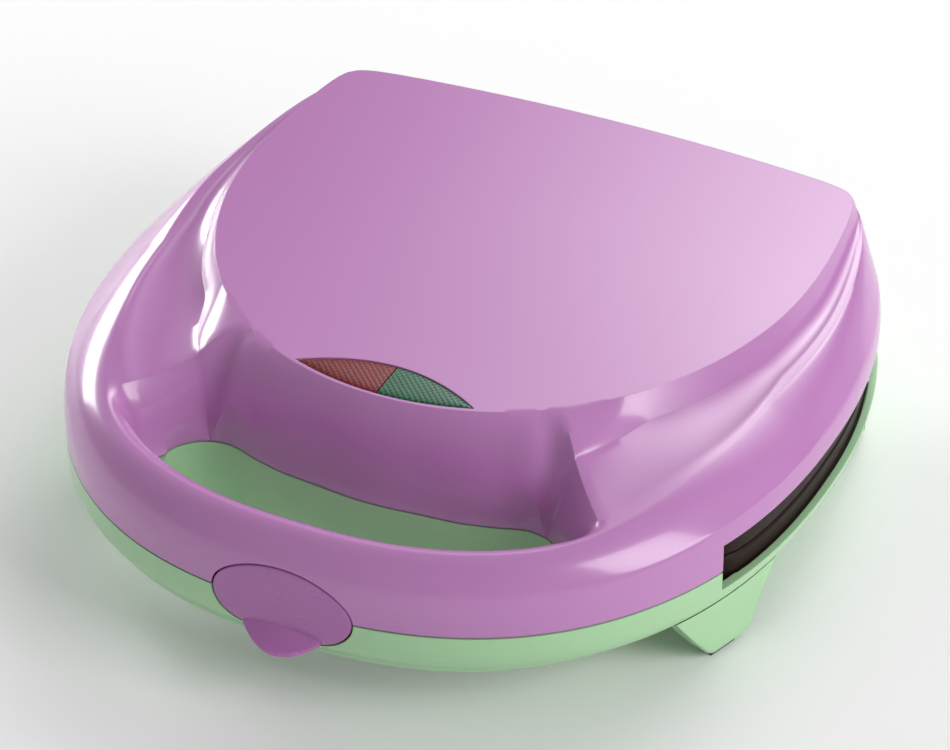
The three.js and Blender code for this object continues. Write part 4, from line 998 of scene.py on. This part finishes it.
def soft_box(name, at, target, size, strength):
    """Lit panel whose glow fades to its edges."""
    w, h = size[0] / 2, size[1] / 2
    panel = mesh_object(name, [(-w, -h, 0), (w, -h, 0), (w, h, 0), (-w, h, 0)], [(0, 1, 2, 3)])
    mat = bpy.data.materials.new(name)
    mat.use_nodes = True
    tree = mat.node_tree
    tree.nodes.clear()
    where = node(tree, "ShaderNodeTexCoord")
    centre = node(tree, "ShaderNodeMapping")
    centre.inputs["Scale"].default_value = (1 / w, 1 / h, 1)
    tree.links.new(where.outputs["Object"], centre.inputs["Vector"])
    fade = node(tree, "ShaderNodeTexGradient", gradient_type="QUADRATIC_SPHERE")
    tree.links.new(centre.outputs["Vector"], fade.inputs["Vector"])
    power = node(tree, "ShaderNodeMath", operation="MULTIPLY")
    power.inputs[1].default_value = strength
    tree.links.new(fade.outputs["Fac"], power.inputs[0])
    glow = node(tree, "ShaderNodeEmission")
    tree.links.new(power.outputs[0], glow.inputs["Strength"])
    out = node(tree, "ShaderNodeOutputMaterial")
    tree.links.new(glow.outputs["Emission"], out.inputs["Surface"])
    panel.data.materials.append(mat)
    panel.location = at
    panel.rotation_euler = (Vector(target) - Vector(at)).to_track_quat("-Z", "Y").to_euler()


floor = mesh_object("floor", [(-6, -6, 0), (6, -6, 0), (6, 6, 0), (-6, 6, 0)], [(0, 1, 2, 3)])
floor_mat, floor_tree, floor_shader = new_material("floor")
floor_noise = node(floor_tree, "ShaderNodeTexNoise", Scale=3.0)
floor_ramp = node(floor_tree, "ShaderNodeValToRGB")
floor_ramp.color_ramp.elements[0].color = (0.93, 0.93, 0.93, 1)
floor_ramp.color_ramp.elements[1].color = (0.96, 0.96, 0.96, 1)
floor_tree.links.new(floor_noise.outputs["Fac"], floor_ramp.inputs["Fac"])
floor_tree.links.new(floor_ramp.outputs["Color"], floor_shader.inputs["Base Color"])
floor_shader.inputs["Roughness"].default_value = 0.7
floor.data.materials.append(floor_mat)

world = bpy.data.worlds.new("studio")
world.use_nodes = True
world.node_tree.nodes["Background"].inputs["Color"].default_value = (1, 1, 1, 1)
world.node_tree.nodes["Background"].inputs["Strength"].default_value = 0.38
scene.world = world

area_light("left_box", (-1.3, 0.65, 0.4), (0, 0, 0.05), (0.8, 0.45), 11)
soft_box("back_box", (0.1, 1.4, 1.2), (0, 0, 0.05), (2.6, 1.9), 9)
area_light("right_box", (1.35, -0.15, 0.8), (0, 0, 0.05), (0.8, 0.8), 12)
scene.view_settings.view_transform = "Standard"

# ---------------------------------------------------------------- camera
AZIMUTH, ELEVATION = math.radians(25.346), math.radians(35.593)
DISTANCE, FOCAL, SIDE_STEP, RISE = 1.298, 151.58, 0.00334, 0.00155
back = Vector((math.sin(AZIMUTH) * math.cos(ELEVATION),
               -math.cos(AZIMUTH) * math.cos(ELEVATION),
               math.sin(ELEVATION)))
right = Vector((math.cos(AZIMUTH), math.sin(AZIMUTH), 0))
up = back.cross(right)
camera = bpy.data.objects.new("camera", bpy.data.cameras.new("camera"))
camera.data.lens = FOCAL
camera.data.sensor_width = 36
camera.location = back * DISTANCE + right * SIDE_STEP + up * RISE + Vector((0, SHIFT_Y * MM, PART_Z * MM))
camera.rotation_euler = Matrix((right, up, back)).transposed().to_euler()
scene.collection.objects.link(camera)
scene.camera = camera
